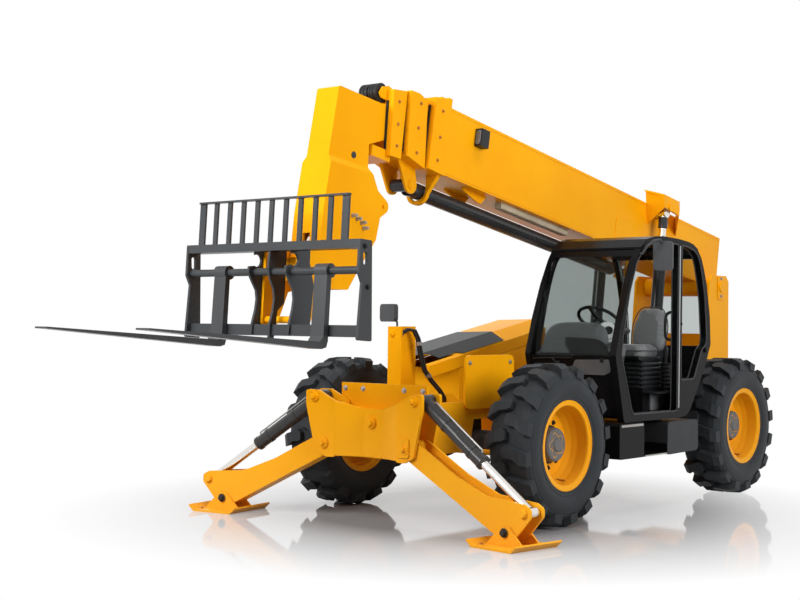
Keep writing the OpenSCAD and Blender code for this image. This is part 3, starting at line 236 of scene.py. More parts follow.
# Painted steelwork of the chassis
# Welded plate, shot-blasted and sprayed with a deep yellow two-pack enamel. It has a faint orange-peel skin,
# and a thin film of dust lies on it towards the ground.
def enamel(name, tone, deep, rough=0.3, coat=0.05, peel=0.05, dust=0.25, gloss=0.12, glint=(1.0, 1.0, 1.0),
           metal=0.0):
    """Sprayed enamel: large soft drift between two tones, fine grime specks, ground dust by height,
    orange-peel bump."""
    paint = new_finish(name, Specular_IOR_Level=gloss, Specular_Tint=(*glint, 1), Coat_Weight=coat,
                       Coat_Roughness=0.12, Metallic=metal)
    drift = paint.texture("Noise", Scale=1.3, Detail=4.0)
    speck = paint.texture("Noise", Scale=46.0, Detail=6.0, Roughness=0.7)
    skin = paint.texture("Noise", Scale=420.0, Detail=2.0)
    body = paint.mixed(paint.stretched(drift, 0.0, 1.0, 0.35, 0.7), tone, deep)
    near_ground = paint.stretched(paint.height(), 0.0, dust, 1.1, 0.0)
    grime = paint.combined("MULTIPLY", near_ground, speck)
    paint.feed("Base Color", paint.mixed(grime, body, (0.30, 0.24, 0.16)))
    paint.feed("Roughness", paint.stretched(speck, rough - 0.05, rough + 0.12, 0.3, 0.75))
    paint.relief(skin, peel, 0.001)
    return paint.owner


def dress(material, *names):
    """Gives a material to carried-over nodes, in their own slots."""
    for n in names:
        slots = nodes[n].data.materials
        slots.clear()
        slots.append(material)


yellow = enamel("yellow_enamel", (0.90, 0.395, 0.004), (0.85, 0.345, 0.003), coat=0.0, gloss=0.1,
                glint=(1.0, 0.62, 0.12))
dress(yellow, "chassis_frame", "stabiliser_frame", "engine_pod", "engine_cover")

forward, leftward, upright = np.eye(3)
hands = (("left", 1), ("right", -1))


def at(x, y, z):
    """A point of the machine, measured from the ground between the axles, moved into the frame."""
    return np.array([x - row_shift, y, z])


def poles(sides, last):
    """Triangles that close the first and last ring of a turned skin on two points, numbered last and on."""
    j = np.arange(sides)
    k = (j + 1) % sides
    return [np.stack([np.full(sides, last), k, j], axis=1),
            np.stack([np.full(sides, last + 1), last - sides + j, last - sides + k], axis=1)]


def turned(profile, origin, axis, sides=32):
    """Turned solid: every profile point (radius, height along the axis) goes once round the axis; both ends
    close on it."""
    profile, origin = np.asarray(profile, float), np.asarray(origin, float)
    axis = np.asarray(axis, float) / np.linalg.norm(axis)
    flat = np.cross(axis, [0.3, 0.5, 0.81])
    flat /= np.linalg.norm(flat)
    turn = np.arange(sides) * 2 * np.pi / sides
    ring = np.cos(turn)[:, None] * flat + np.sin(turn)[:, None] * np.cross(axis, flat)
    body = origin + profile[:, 1, None, None] * axis + profile[:, 0, None, None] * ring
    ends = origin + profile[[0, -1], 1, None] * axis
    return np.vstack([body.reshape(-1, 3), ends]), [
        grid_quads(len(profile), sides, wrap_cols=True), *poles(sides, len(profile) * sides)]


def slab(outline, thick, origin, u, v):
    """Flat plate: an outline in the plane of u and v, carried straight through its thickness along u x v."""
    outline, u, v = np.asarray(outline, float), np.asarray(u, float), np.asarray(v, float)
    x, y = outline.T
    if np.sum(x * np.roll(y, -1) - y * np.roll(x, -1)) < 0:
        outline = outline[::-1]
    near = np.asarray(origin, float) + outline[:, :1] * u + outline[:, 1:] * v
    n = len(outline)
    return np.vstack([near, near + thick * np.cross(u, v)]), [
        grid_quads(2, n, wrap_cols=True), np.arange(n)[None, ::-1], np.arange(n, 2 * n)[None]]


def soft_corners(points, cut, steps=5):
    """Outline whose corners become quadratic arcs, each starting and ending cut away from its corner."""
    p = np.asarray(points, float)
    back, on = np.roll(p, 1, axis=0) - p, np.roll(p, -1, axis=0) - p
    lb, lo = np.linalg.norm(back, axis=1, keepdims=True), np.linalg.norm(on, axis=1, keepdims=True)
    c = np.minimum(cut, 0.45 * np.minimum(lb, lo))
    a, b = p + back / lb * c, p + on / lo * c
    t = np.linspace(0, 1, steps)[None, :, None]
    arcs = (1 - t) ** 2 * a[:, None] + 2 * t * (1 - t) * p[:, None] + t ** 2 * b[:, None]
    return arcs.reshape(-1, p.shape[1])


def box_outline(w, h, cut=0.0):
    """A rectangle round the origin, its corners eased by cut."""
    corners = np.array([[-w, -h], [w, -h], [w, h], [-w, h]]) / 2
    return soft_corners(corners, cut) if cut else corners


def collar(bore, rim, length, origin, axis, sides=40):
    """Ring with square edges: a rectangle from bore to rim, carried once round the axis."""
    profile = [(bore, 0), (rim, 0), (rim, length), (bore, length)]
    points, _ = turned(profile, origin, axis, sides)
    return points[:-2], [grid_quads(4, sides, True, True)]


def bolts(spots, axis, size):
    """Hexagon heads of the given width on their washers, one at each spot."""
    washer = [(0.85 * size, -0.0005), (0.85 * size, 0.12 * size), (0.8 * size, 0.16 * size)]
    head = [(0.56 * size, 0.15 * size), (0.56 * size, 0.62 * size), (0.46 * size, 0.72 * size)]
    return [turned(profile, spot, axis, sides)
            for spot in spots for profile, sides in ((washer, 20), (head, 6))]


def carried(piece, body, bevel=0.0):
    """Sets what a piece rides on, and breaks its edges by bevel."""
    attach(piece, body)
    if bevel:
        mod = piece.modifiers.new("edges", "BEVEL")
        mod.width, mod.segments, mod.limit_method, mod.angle_limit = bevel, 2, "ANGLE", 0.6


def fit(name, shells, material, body="chassis", bevel=0.0, smooth=0.6):
    """Makes a piece of shells and fixes it to its body."""
    carried(mesh_piece(name, shells, material, smooth), body, bevel)


# Bolts through the front plate and the guard plate, and the boss of the stabilisers' cross pin
zinc = enamel("zinc_plate", (0.42, 0.41, 0.39), (0.33, 0.32, 0.30), coat=0.0, peel=0.1, dust=0.3, metal=0.85)
plate_spots = [at(2.325, y, z) for y in (-0.4, -0.212, 0.212, 0.4) for z in (0.62, 1.055)]
guard_spots = [at(x, 0.46, z) for x, z in ((1.24, 1.27), (1.80, 1.27), (1.24, 1.05))]
front_bolts = bolts(plate_spots, forward, 0.026) + bolts(guard_spots, leftward, 0.022)
fit("front_plate_bolts", front_bolts, zinc)
cross_pin = [turned([(0.046, 0), (0.046, 0.02), (0.042, 0.026)], at(2.4548, -0.005, 0.80), forward, 40),
             turned([(0.028, 0.025), (0.028, 0.04), (0.024, 0.046)], at(2.455, -0.005, 0.80), forward)]
fit("cross_pin_boss", cross_pin, yellow)

# Capped pin through the head of the mirror's post
post_pin = [turned([(0.026, 0), (0.026, 0.010), (0.022, 0.015)], at(1.75, -0.391, 1.491), forward),
            *bolts([at(1.764, -0.391, 1.491)], forward, 0.018)]
fit("mirror_post_pin", post_pin, yellow)

# Keeper plates of the boom's pin on both sides of the tower, each held by two bolts
keepers, keeper_bolts = [], []
keeper_form = soft_corners([[-0.07, -0.13], [0.06, -0.13], [0.06, 0.12], [-0.07, 0.12]], 0.03)
for side in (1, -1):
    face, out = at(-2.62, side * 0.4422, 1.99), side * leftward
    keepers.append(slab(keeper_form, 0.007, face, -side * forward, upright))
    keepers.append(turned([(0.052, 0), (0.052, 0.012), (0.047, 0.017)], face + 0.006 * out, out, 40))
    keeper_bolts += bolts([face + [0, side * 0.007, dz] for dz in (-0.095, 0.09)], out, 0.02)
fit("boom_pin_keepers", keepers, yellow, bevel=0.002)
fit("boom_pin_keeper_bolts", keeper_bolts, zinc)

# Running gear castings
# Axle housings, knuckles and the hitch are rough sand castings and forgings under a thin dark primer.
cast_metal = enamel("cast_primer", (0.018, 0.019, 0.02), (0.01, 0.011, 0.012), rough=0.5, coat=0.0, peel=0.5,
                    dust=0.2)
knuckles = [f"knuckle_{end}_{hand}" for end in ("front", "rear") for hand, _ in hands]
dress(cast_metal, "axles", *knuckles, "tow_hitch")
engine_metal = enamel("engine_cast", (0.16, 0.16, 0.155), (0.1, 0.1, 0.1), rough=0.55, coat=0.0, peel=0.6,
                      dust=0.5)
dress(engine_metal, "engine_block")
hitch_pin = [(0.0155, -0.16), (0.0155, 0.03), (0.026, 0.032), (0.026, 0.044), (0.02, 0.05)]
fit("hitch_pin", [turned(hitch_pin, at(-2.885, 0, 0.78), upright, 24)], zinc)

# Wheels
# Pressed steel rims in the machine's yellow, with a wide gutter and a deep disc. A cast grey planetary hub
# stands in the middle, its face relieved by a waved groove, on a black flange; ten nuts and an air valve
# complete each wheel.
half_wheelbase, wheel_out, axle_height = 1.543, 1.05, 0.64
wheels = [(f"{end}_{hand}", at(x, side * wheel_out, axle_height), side)
          for end, x in (("front", half_wheelbase), ("rear", -half_wheelbase)) for hand, side in hands]
dress(yellow, *(f"rim_{wheel}" for wheel, _, _ in wheels))
hub_grey = enamel("hub_grey", (0.15, 0.155, 0.157), (0.12, 0.125, 0.127), rough=0.42, coat=0.0, peel=0.2)
gloss_black = enamel("gloss_black", (0.012, 0.012, 0.013), (0.016, 0.016, 0.017), rough=0.35, coat=0.1,
                     peel=0.1, dust=0.15)
brass = enamel("valve_brass", (0.5, 0.19, 0.04), (0.42, 0.15, 0.03), rough=0.35, coat=0.0, peel=0.1, dust=0.3)


def hub_face(centre, side, around=160, across=46):
    """Hub casting: radius by turn; its height is a flat face with a raised middle and a rounded rim, less a
    groove where the radius meets 84 mm plus 16 mm times the cosine of five turns, and a broken one at
    62 mm."""
    easing = np.linspace(0.1, np.pi / 2, 8)
    r = np.concatenate([np.linspace(0.004, 0.112, across), 0.112 + 0.022 * np.sin(easing), [0.134, 0.134]])
    rise = np.concatenate([np.full(across, 0.075), 0.052 + 0.023 * np.cos(easing), [0.0, -0.024]])
    rise[:across] += 0.013 / (1 + np.exp((r[:across] - 0.05) / 0.0016))
    turn = np.arange(around) * 2 * np.pi / around
    off_wave = r[:, None] - 0.084 - 0.016 * np.cos(5 * turn)
    groove = 0.006 * np.exp(-(off_wave / 0.0032) ** 2) * (r[:, None] < 0.112)
    groove += 0.004 * np.exp(-((r[:, None] - 0.062) / 0.0022) ** 2) * (np.cos(5 * turn + 1.2) > 0.1)
    height = rise[:, None] - groove
    x, z = r[:, None] * np.cos(turn), r[:, None] * np.sin(turn) * side
    pts = np.stack([x, side * height, z], axis=-1).reshape(-1, 3)
    ends = [[0, side * rise[0], 0], [0, -side * 0.024, 0]]
    return np.vstack([pts, ends]) + centre, [
        grid_quads(len(r), around, wrap_cols=True), *poles(around, len(r) * around)]


flange_profile = [(0.152, -0.024), (0.152, 0.004), (0.146, 0.01)]
valve_profile = [(0.009, 0.0), (0.009, 0.03), (0.0055, 0.034), (0.0055, 0.075), (0.0075, 0.076),
                 (0.0075, 0.095), (0.004, 0.099)]
nut_turn = np.arange(10) * np.pi / 5 + 0.2
nut_circle = 0.19 * np.stack([np.cos(nut_turn), 0 * nut_turn, np.sin(nut_turn)], axis=1)
disc_face = -0.0225  # the nuts' seats lie inward of the tyre's middle plane
for wheel, middle, side in wheels:
    body, out = f"wheel_{wheel}", side * leftward
    fit(f"hub_{wheel}", [hub_face(middle, side)], hub_grey, body, smooth=0.5)
    fit(f"hub_flange_{wheel}", [turned(flange_profile, middle, out, 48)], gloss_black, body)
    nuts = bolts(middle + nut_circle + disc_face * out, out, 0.024)
    fit(f"wheel_nuts_{wheel}", nuts, gloss_black, body)
    valve = turned(valve_profile, middle + [-0.0855, 0, -0.282], out, 16)
    fit(f"valve_{wheel}", [valve], brass, body)


def rubber(name, tone, rough=0.62, grain=0.35, gloss=0.22, black_below=None):
    """Rubber or moulded plastic: dull body, paler bloom in broad patches, fine mould grain in the bump; where
    black_below gives two heights, it darkens between them to a black foot."""
    skin = new_finish(name, Specular_IOR_Level=gloss)
    bloom = skin.texture("Noise", Scale=5.0, Detail=5.0)
    fine = skin.texture("Noise", Scale=160.0, Detail=5.0)
    dark, pale = (tuple(c * share for c in tone) for share in (0.75, 1.3))
    colour = skin.mixed(bloom, dark, pale)
    if black_below:
        above_foot = skin.stretched(skin.height(), 0.0, 1.0, *black_below)
        colour = skin.mixed(above_foot, (0.008, 0.008, 0.009), colour)
    skin.feed("Base Color", colour)
    skin.feed("Roughness", skin.stretched(fine, rough - 0.12, rough + 0.15))
    skin.relief(fine, grain, 0.002)
    return skin.owner


# Tyres are moulded in one piece; two fine ribs run round each sidewall
tyre_rubber = rubber("tyre_rubber", (0.027, 0.030, 0.033), rough=0.5, gloss=0.12)
dress(tyre_rubber, *(f"tyre_{wheel}" for wheel, _, _ in wheels))


def hoop_rib(centre, radius, wire, offset, side):
    """A round wire bent to a full circle about the wheel's axis: turn by turn of the wire."""
    turn, small = np.arange(96)[:, None] * 2 * np.pi / 96, np.arange(8)[None] * 2 * np.pi / 8
    r = radius + wire * np.cos(small)
    out = side * (offset + wire * np.sin(small)) + 0 * turn
    pts = np.stack([r * np.cos(turn), out, side * r * np.sin(turn)], axis=-1)
    return pts.reshape(-1, 3) + centre, [grid_quads(96, 8, True, True)[:, ::-1]]


for wheel, middle, side in wheels:
    ribs = [hoop_rib(middle, 0.392, 0.004, 0.1845, side), hoop_rib(middle, 0.522, 0.0035, 0.1865, side)]
    fit(f"tyre_ribs_{wheel}", ribs, tyre_rubber, f"wheel_{wheel}")

# Tanks and steps
# The fuel tank is rotomoulded grey polyethylene; the step box is folded sheet with a black powder coat,
# its tread edged with an aluminium nosing.
tank_grey = rubber("tank_grey", (0.027, 0.029, 0.032), rough=0.45, grain=0.25, gloss=0.15)
dress(tank_grey, "fuel_tank")
black_coat = enamel("black_coat", (0.004, 0.004, 0.0045), (0.007, 0.007, 0.0075), rough=0.22, coat=0.0,
                    dust=0.0, gloss=0.07)
dress(black_coat, "cab_steps")
nosings = [slab(box_outline(0.36, 0.02, 0.006), 0.004, at(0.53, 1.2151, 0.745), -forward, upright),
           slab(box_outline(0.38, 0.012, 0.004), 0.004, at(0.126, 1.2151, 0.4765), -forward, upright)]
fit("step_nosings", nosings, zinc, bevel=0.001)
cap = [turned([(0.042, 0), (0.042, 0.016), (0.038, 0.02)], at(-0.2, 1.04, 0.7445), upright, 10)]
fit("tank_cap", cap, gloss_black)

# Cab shell
# Square tube and pressings under black enamel, with a roof of the same colour. A rubber gasket lines each
# opening, a pale grey strip on the rear door post is a painted highlight, and the tinted glass is bonded in.
dress(black_coat, "cab_frame", "cab_roof")
glass = new_finish("cab_glass", Transmission_Weight=1.0, IOR=1.12, Base_Color=(0.50, 0.535, 0.525, 1))
glass.feed("Roughness", glass.stretched(glass.texture("Noise", Scale=9.0, Detail=4.0), 0.0, 0.05))
dress(glass.owner, "cab_glass")
gasket = rubber("gasket_rubber", (0.045, 0.046, 0.048), rough=0.5, grain=0.1)


def swept(path, radius, side=(0, 1, 0), sides=12, closed=False):
    """Round bar: a circle square to the path's direction is carried along it; side sets where the circle
    starts."""
    path = np.asarray(path, float)
    if closed:
        d = np.roll(path, -1, axis=0) - np.roll(path, 1, axis=0)
    else:
        d = np.gradient(path, axis=0)
    d /= np.linalg.norm(d, axis=1, keepdims=True)
    a = np.cross(d, side)
    a /= np.linalg.norm(a, axis=1, keepdims=True)
    turn = np.arange(sides) * 2 * np.pi / sides
    ring = np.cos(turn)[None, :, None] * a[:, None] + np.sin(turn)[None, :, None] * np.cross(d, a)[:, None]
    pts = path[:, None] + np.reshape(radius, (-1, 1, 1)) * ring
    n = len(path)
    faces = [grid_quads(n, sides, wrap_rows=closed, wrap_cols=True)]
    if not closed:
        faces += [np.arange(sides)[None, ::-1], np.arange((n - 1) * sides, n * sides)[None]]
    return pts.reshape(-1, 3), faces


def eased(points, per=8):
    """Smooth line through points: each leg, of per steps, is a cubic whose end slopes follow the
    neighbours."""
    p = np.asarray(points, float)
    q = np.vstack([2 * p[0] - p[1], p, 2 * p[-1] - p[-2]])
    t = np.arange(per)[:, None] / per
    cubes = [-t + 2 * t ** 2 - t ** 3, 2 - 5 * t ** 2 + 3 * t ** 3,
             t + 4 * t ** 2 - 3 * t ** 3, t ** 3 - t ** 2]
    legs = np.stack([q[:-3], q[1:-2], q[2:-1], q[3:]], axis=1)
    return np.vstack([np.einsum("tk,lkc->ltc", 0.5 * np.hstack(cubes), legs).reshape(-1, 3), p[-1:]])


def side_line(points, y):
    """A closed line in side view, its corners eased, at one distance from the machine's middle."""
    xz = soft_corners(points, 0.03)
    return np.stack([xz[:, 0] - row_shift, np.full(len(xz), y), xz[:, 1]], axis=1)


door_line = [[0.492, 0.834], [0.519, 0.876], [0.69, 1.33], [0.671, 1.477], [0.559, 1.864], [0.443, 2.122],
             [0.36, 2.2], [0.269, 2.258], [0.187, 2.285], [0.06, 2.3], [-0.285, 2.303], [-0.268, 0.834]]
quarter_line = [[-0.352, 2.3], [-0.48, 2.285], [-0.583, 2.26], [-0.65, 2.215], [-0.692, 2.15],
                [-0.74, 2.01], [-0.79, 1.822], [-0.826, 1.474], [-0.812, 1.412], [-0.733, 1.37],
                [-0.584, 1.11], [-0.34, 1.1]]
cab_face, cab_inside = 1.2, 1.1375  # distances of the side's outer and inner face from the machine's middle
seals = [swept(side_line(line, y), 0.006, sides=8, closed=True) for y in (cab_face - 0.001, cab_inside)
         for line in (door_line, quarter_line)]
fit("cab_opening_seals", seals, gasket, smooth=1.2)

# A pale grey strip on the rear door post: a painted highlight along the black post.
post_highlight_grey = enamel("post_highlight_grey", (0.36, 0.37, 0.38), (0.3, 0.31, 0.32), coat=0.0, dust=0.0)
strip_form = soft_corners([[0.2885, 0.86], [0.3075, 0.86], [0.3215, 2.29], [0.3025, 2.29]], 0.004)
strip = slab(strip_form, 0.004, at(0, cab_face, 0), -forward, upright)
fit("door_post_highlight", [strip], post_highlight_grey, bevel=0.001)
knob_profile = [(0.024, 0), (0.024, 0.012), (0.019, 0.018), (0.01, 0.019)]
latches = [turned(knob_profile, at(-0.8, 1.1995, 1.365), leftward),
           turned([(0.011, 0), (0.011, 0.016)], at(-0.325, cab_face, 1.6), leftward, 20)]
fit("cab_latches", latches, black_coat)

# Inner tube of each front post
post_line = [(0.600, 1.16), (0.668, 1.33), (0.645, 1.48), (0.535, 1.86), (0.42, 2.115), (0.33, 2.205)]
post_tubes = [swept(eased([at(x, y, z) for x, z in post_line]), 0.021, sides=16) for y in (0.36, 1.128)]
fit("front_post_tubes", post_tubes, black_coat, smooth=0.9)

# Scuttle panel with its latch below the windscreen, and the wiper lying along the foot of the glass
scuttle_up = np.array([0.2757, 0, 0.9612])
scuttle_out = (1, 0, -0.28)
scuttle_grey = rubber("scuttle_grey", (0.105, 0.11, 0.115), rough=0.4, grain=0.1, gloss=0.3)
scuttle_form = [[0.80, 0.0], [1.06, 0.0], [1.125, 0.03], [1.125, 0.138], [0.79, 0.128], [0.75, 0.06]]
scuttle = slab(soft_corners(scuttle_form, 0.02), 0.005, at(0.7217, 0, 1.166), leftward, scuttle_up)
fit("scuttle_panel", [scuttle], scuttle_grey, bevel=0.002)
latch = [slab(box_outline(0.03, 0.034, 0.006), 0.012, at(0.762, 1.055, 1.29), leftward, scuttle_up),
         turned([(0.008, 0), (0.008, 0.012)], at(0.768, 1.055, 1.284), scuttle_out, 16)]
fit("scuttle_latch", latch, gloss_black, bevel=0.001)
blade_line = ((0.768, 0.37, 1.292), (0.771, 0.50, 1.300), (0.771, 0.64, 1.304), (0.769, 0.77, 1.306))
arm_line = ((0.762, 0.62, 1.262), (0.776, 0.60, 1.275), (0.778, 0.57, 1.303))
wiper = [swept(eased([at(*p) for p in blade_line]), 0.0055, sides=8),
         swept(eased([at(*p) for p in arm_line], 6), 0.007, sides=8),
         turned([(0.016, -0.004), (0.016, 0.014), (0.011, 0.02)], at(0.757, 0.625, 1.262), scuttle_out, 24)]
fit("wiper", wiper, gloss_black, smooth=0.9)

# Cab fittings
# Console, cowl and binnacle are in grained plastic; the console is grey and turns black below a set height;
# the wheel has a soft black rim. A ribbed silver boot with a dark nose sits beside the column, and a gaitered
# stick works the boom.
moulded = rubber("moulded_grey", (0.085, 0.088, 0.092), rough=0.48, grain=0.3, black_below=(1.31, 1.325))
dress(moulded, "cab_console")
black_plastic = rubber("black_plastic", (0.013, 0.014, 0.015), rough=0.4, grain=0.2, gloss=0.25)
dress(black_plastic, "steering_wheel")
mirror_shell = rubber("mirror_shell", (0.045, 0.047, 0.05), rough=0.42, grain=0.2)
dress(mirror_shell, "mirrors")
hose_rubber = rubber("hose_rubber", (0.02, 0.02, 0.021), rough=0.45, grain=0.15)
dress(hose_rubber, "front_hoses")
hose_gap = 0.032
hose_ends = (((1.4445, -0.3382, 1.4225), (-0.03, 0.01, -0.15)),
             ((1.345, -0.3156, 1.141), (-0.08, 0.01, -0.09)))
ferrules = [collar(0.0122, 0.0172, 0.03, at(x + gap, y, z), way)
            for gap in (0, hose_gap) for (x, y, z), way in hose_ends]
fit("hose_ferrules", ferrules, zinc, bevel=0.001)


def lofted(loops):
    """Skin over a stack of closed loops with as many points each, capped flat at both ends."""
    loops = np.asarray(loops, float)
    n, m = loops.shape[:2]
    return loops.reshape(-1, 3), [
        grid_quads(n, m, wrap_cols=True), np.arange(m)[None, ::-1], np.arange((n - 1) * m, n * m)[None]]


def cowl_skin(y_from, y_to, section, crown=24):
    """Moulded hump: the side-view section is carried across the cab and drawn in to its foot point at both
    ends, by the fourth root of one less the fourth power of the way from the middle."""
    section = soft_corners(section, 0.05, 6)
    way = np.sin(np.linspace(-np.pi / 2, np.pi / 2, crown))
    draw = 0.12 + 0.88 * np.sqrt(np.sqrt(1 - np.clip(np.abs(way), 0, 0.9999) ** 4))
    base = np.array([section[:, 0].mean(), section[:, 1].min()])
    xz = base + draw[:, None, None] * (section - base)
    y = np.broadcast_to(((y_from + y_to) / 2 + way * (y_to - y_from) / 2)[:, None], xz.shape[:2])
    return lofted(np.stack([xz[..., 0] - row_shift, y, xz[..., 1]], axis=-1))


dash_grey = rubber("dash_grey", (0.15, 0.153, 0.157), rough=0.5, grain=0.25)
cowl_section = [[0.672, 1.40], [0.655, 1.50], [0.56, 1.60], [0.44, 1.608], [0.385, 1.53], [0.40, 1.40]]
fit("dash_cowl", [cowl_skin(0.37, 0.93, cowl_section)], dash_grey, smooth=1.2)
dash_up, dash_height = (-0.28, 0, 0.96), 1.326
visor_form = [[0.64, 0.155], [0.94, 0.145], [1.035, 0.11], [1.10, 0.03], [1.10, 0.0], [0.75, 0.0],
              [0.67, 0.075]]
visor = slab(soft_corners(visor_form, 0.02), 0.02, at(0.708, 0, dash_height), leftward, dash_up)
fit("dash_visor", [visor], black_plastic, bevel=0.004)
binnacle_form = [[0.43, 0.01], [0.43, 0.085], [0.45, 0.115], [0.62, 0.128], [0.66, 0.075], [0.72, 0.01]]
binnacle = slab(soft_corners(binnacle_form, 0.02), 0.02, at(0.704, 0, dash_height), leftward, dash_up)
fit("dash_binnacle", [binnacle], dash_grey, bevel=0.006)

# Each ribbed form swells and shrinks along these stations
ribs = np.linspace(0, 1, 61)
boot_foot, boot_way = at(0.372, 0.872, 1.535), np.array([0.72, 0.66, 0.06])
boot_bulge = 0.03 + 0.046 * np.sin(np.linspace(0.25, 0.5, len(ribs)) * np.pi)[::-1]
ribbed = np.stack([boot_bulge + 0.0035 * np.cos(ribs * 10 * np.pi), 0.075 * ribs - 0.02], axis=1)
boot_silver = enamel("boot_silver", (0.86, 0.86, 0.86), (0.7, 0.7, 0.7), coat=0.0, peel=0.2, dust=0.0,
                     gloss=0.5)
fit("column_boot", [turned(ribbed, boot_foot, boot_way, 48)], boot_silver, smooth=1.0)
nose_profile = [(0.036, 0.03), (0.036, 0.062), (0.026, 0.068), (0.024, 0.06), (0.008, 0.058)]
fit("column_boot_nose", [turned(nose_profile, boot_foot, boot_way, 40)], black_plastic)
column_lean = math.radians(35)
column_way = np.array([-math.sin(column_lean), 0, math.cos(column_lean)])
horn_spot = at(0.47, 0.75, 1.4) + column_way * 0.2802
horn_pad = turned([(0.036, 0.0), (0.036, 0.006), (0.03, 0.012), (0.014, 0.015)], horn_spot, column_way, 40)
fit("horn_pad", [horn_pad], moulded)

# Suspension bellows below the seat, the gaiter of the floor lever behind it, and the floor's document box
bellows_foot, bellows_high, bellows_half, fold_deep = at(-0.30, 0.75, 1.031), 0.246, 0.186, 0.011
bellows = []
for part_way in ribs:
    half = bellows_half + fold_deep * abs(math.cos(part_way * 6 * math.pi))
    fold = soft_corners([[-half, -half], [half, -half], [half, half], [-half, half]], 0.05)
    bellows.append(bellows_foot + np.insert(fold, 2, bellows_high * part_way, axis=1))
fit("seat_bellows", [lofted(bellows)], black_plastic, smooth=1.0)
gaiter_foot = at(-0.372, 1.03, 0.995)
gaiter_profile = np.stack([0.043 + 0.006 * np.cos(ribs * 14 * np.pi), 0.25 * ribs], axis=1)
lever_profile = [(0.016, 0.24), (0.013, 0.30), (0.02, 0.33), (0.022, 0.38), (0.014, 0.40)]
gaiter = [turned(gaiter_profile, gaiter_foot, upright, 40), turned(lever_profile, gaiter_foot, upright, 24)]
fit("floor_gaiter", gaiter, black_plastic, smooth=0.9)
shelf = slab(box_outline(0.44, 0.16, 0.02), 0.012, at(-0.31, 1.02, 0.983), forward, leftward)
fit("gaiter_shelf", [shelf], black_plastic, bevel=0.003)
box_panel = slab(box_outline(0.248, 0.15, 0.012), 0.02, at(-0.346, 0.967, 0.906), forward, upright)
fit("document_box", [box_panel], dash_grey, bevel=0.004)
grab_line = ((1.136, 1.70), (1.10, 1.70), (1.068, 1.675), (1.058, 1.62), (1.058, 1.52), (1.075, 1.468),
             (1.136, 1.455))
grab = swept(eased([at(-0.31, y, z) for y, z in grab_line], 6), 0.014, side=forward)
fit("grab_handle", [grab], black_plastic, smooth=0.9)

stick_foot = at(0.02, 0.42, 1.24)
stick_way = np.array([0.12, 0.05, 1.0])
stick_gaiter = np.stack([0.05 - 0.032 * ribs + 0.003 * np.cos(ribs * 10 * np.pi), 0.07 * ribs], axis=1)
stick_profile = [(0.009, 0.06), (0.009, 0.15), (0.018, 0.165), (0.024, 0.2), (0.021, 0.235), (0.012, 0.25)]
stick = [turned(stick_gaiter, stick_foot, stick_way), turned(stick_profile, stick_foot, stick_way, 24)]
fit("boom_stick", stick, black_plastic, smooth=0.9)
dial_profile = [(0.034, 0), (0.034, 0.012), (0.03, 0.014), (0.029, 0.008)]
dials = [turned(dial_profile, at(0.40, y, 1.43), (-0.45, 0, 0.9)) for y in (0.62, 0.72)]
fit("dash_dials", dials, gloss_black)

# Mirror glass, set into the rearward face of each head
silver = new_finish("mirror_silver", Metallic=1.0, Base_Color=(0.78, 0.8, 0.81, 1))
silver.feed("Roughness", silver.stretched(silver.texture("Noise", Scale=14.0, Detail=2.0), 0.02, 0.07))
mirror_glass = []
mirror_heads = ((at(0.232, 1.33, 2.177), 20, 0.142, 0.226), (at(1.625, -0.535, 1.67), -20, 0.218, 0.128))
for middle, swing, w, h in mirror_heads:
    c, s = math.cos(math.radians(swing)), math.sin(math.radians(swing))
    face = middle + 0.0201 * np.array([-c, -s, 0])
    mirror_glass.append(slab(box_outline(w, h, 0.03), 0.002, face, (s, -c, 0), upright))
fit("mirror_glass", mirror_glass, silver.owner)

# Driver's seat
# A foam cushion and back in woven grey cloth with vinyl piping, with an armrest on the right.
weave = new_finish("seat_cloth", Roughness=0.85, Sheen_Weight=0.3)
warp, weft = (weave.texture("Wave", wave_type="BANDS", bands_direction=way, Scale=260.0, Distortion=0.3)
              for way in "YZ")
thread = weave.combined("MULTIPLY", warp, weft)
fleck = weave.combined("MULTIPLY", thread, weave.texture("Noise", Scale=24.0, Detail=5.0))
weave.feed("Base Color", weave.mixed(fleck, (0.155, 0.162, 0.164), (0.26, 0.27, 0.272)))
weave.relief(thread, 0.4, 0.001)


def pillow(middle, u, v, w, half, outline, steps=9):
    """Pad: a rounded outline in the plane of u and v, stacked along w, drawn in towards both faces as a
    quarter ellipse."""
    u, v, w = np.asarray(u, float), np.asarray(v, float), np.asarray(w, float)
    lift_at = np.sin(np.linspace(-np.pi / 2, np.pi / 2, steps))
    draw = 1 - 0.16 * (1 - np.sqrt(np.clip(1 - lift_at ** 2, 0, 1)))
    ring = soft_corners(outline, 0.35, 7) * half[:2]
    flat = ring[:, :1] * u + ring[:, 1:] * v
    return lofted(middle + draw[:, None, None] * flat + (lift_at * half[2])[:, None, None] * w)


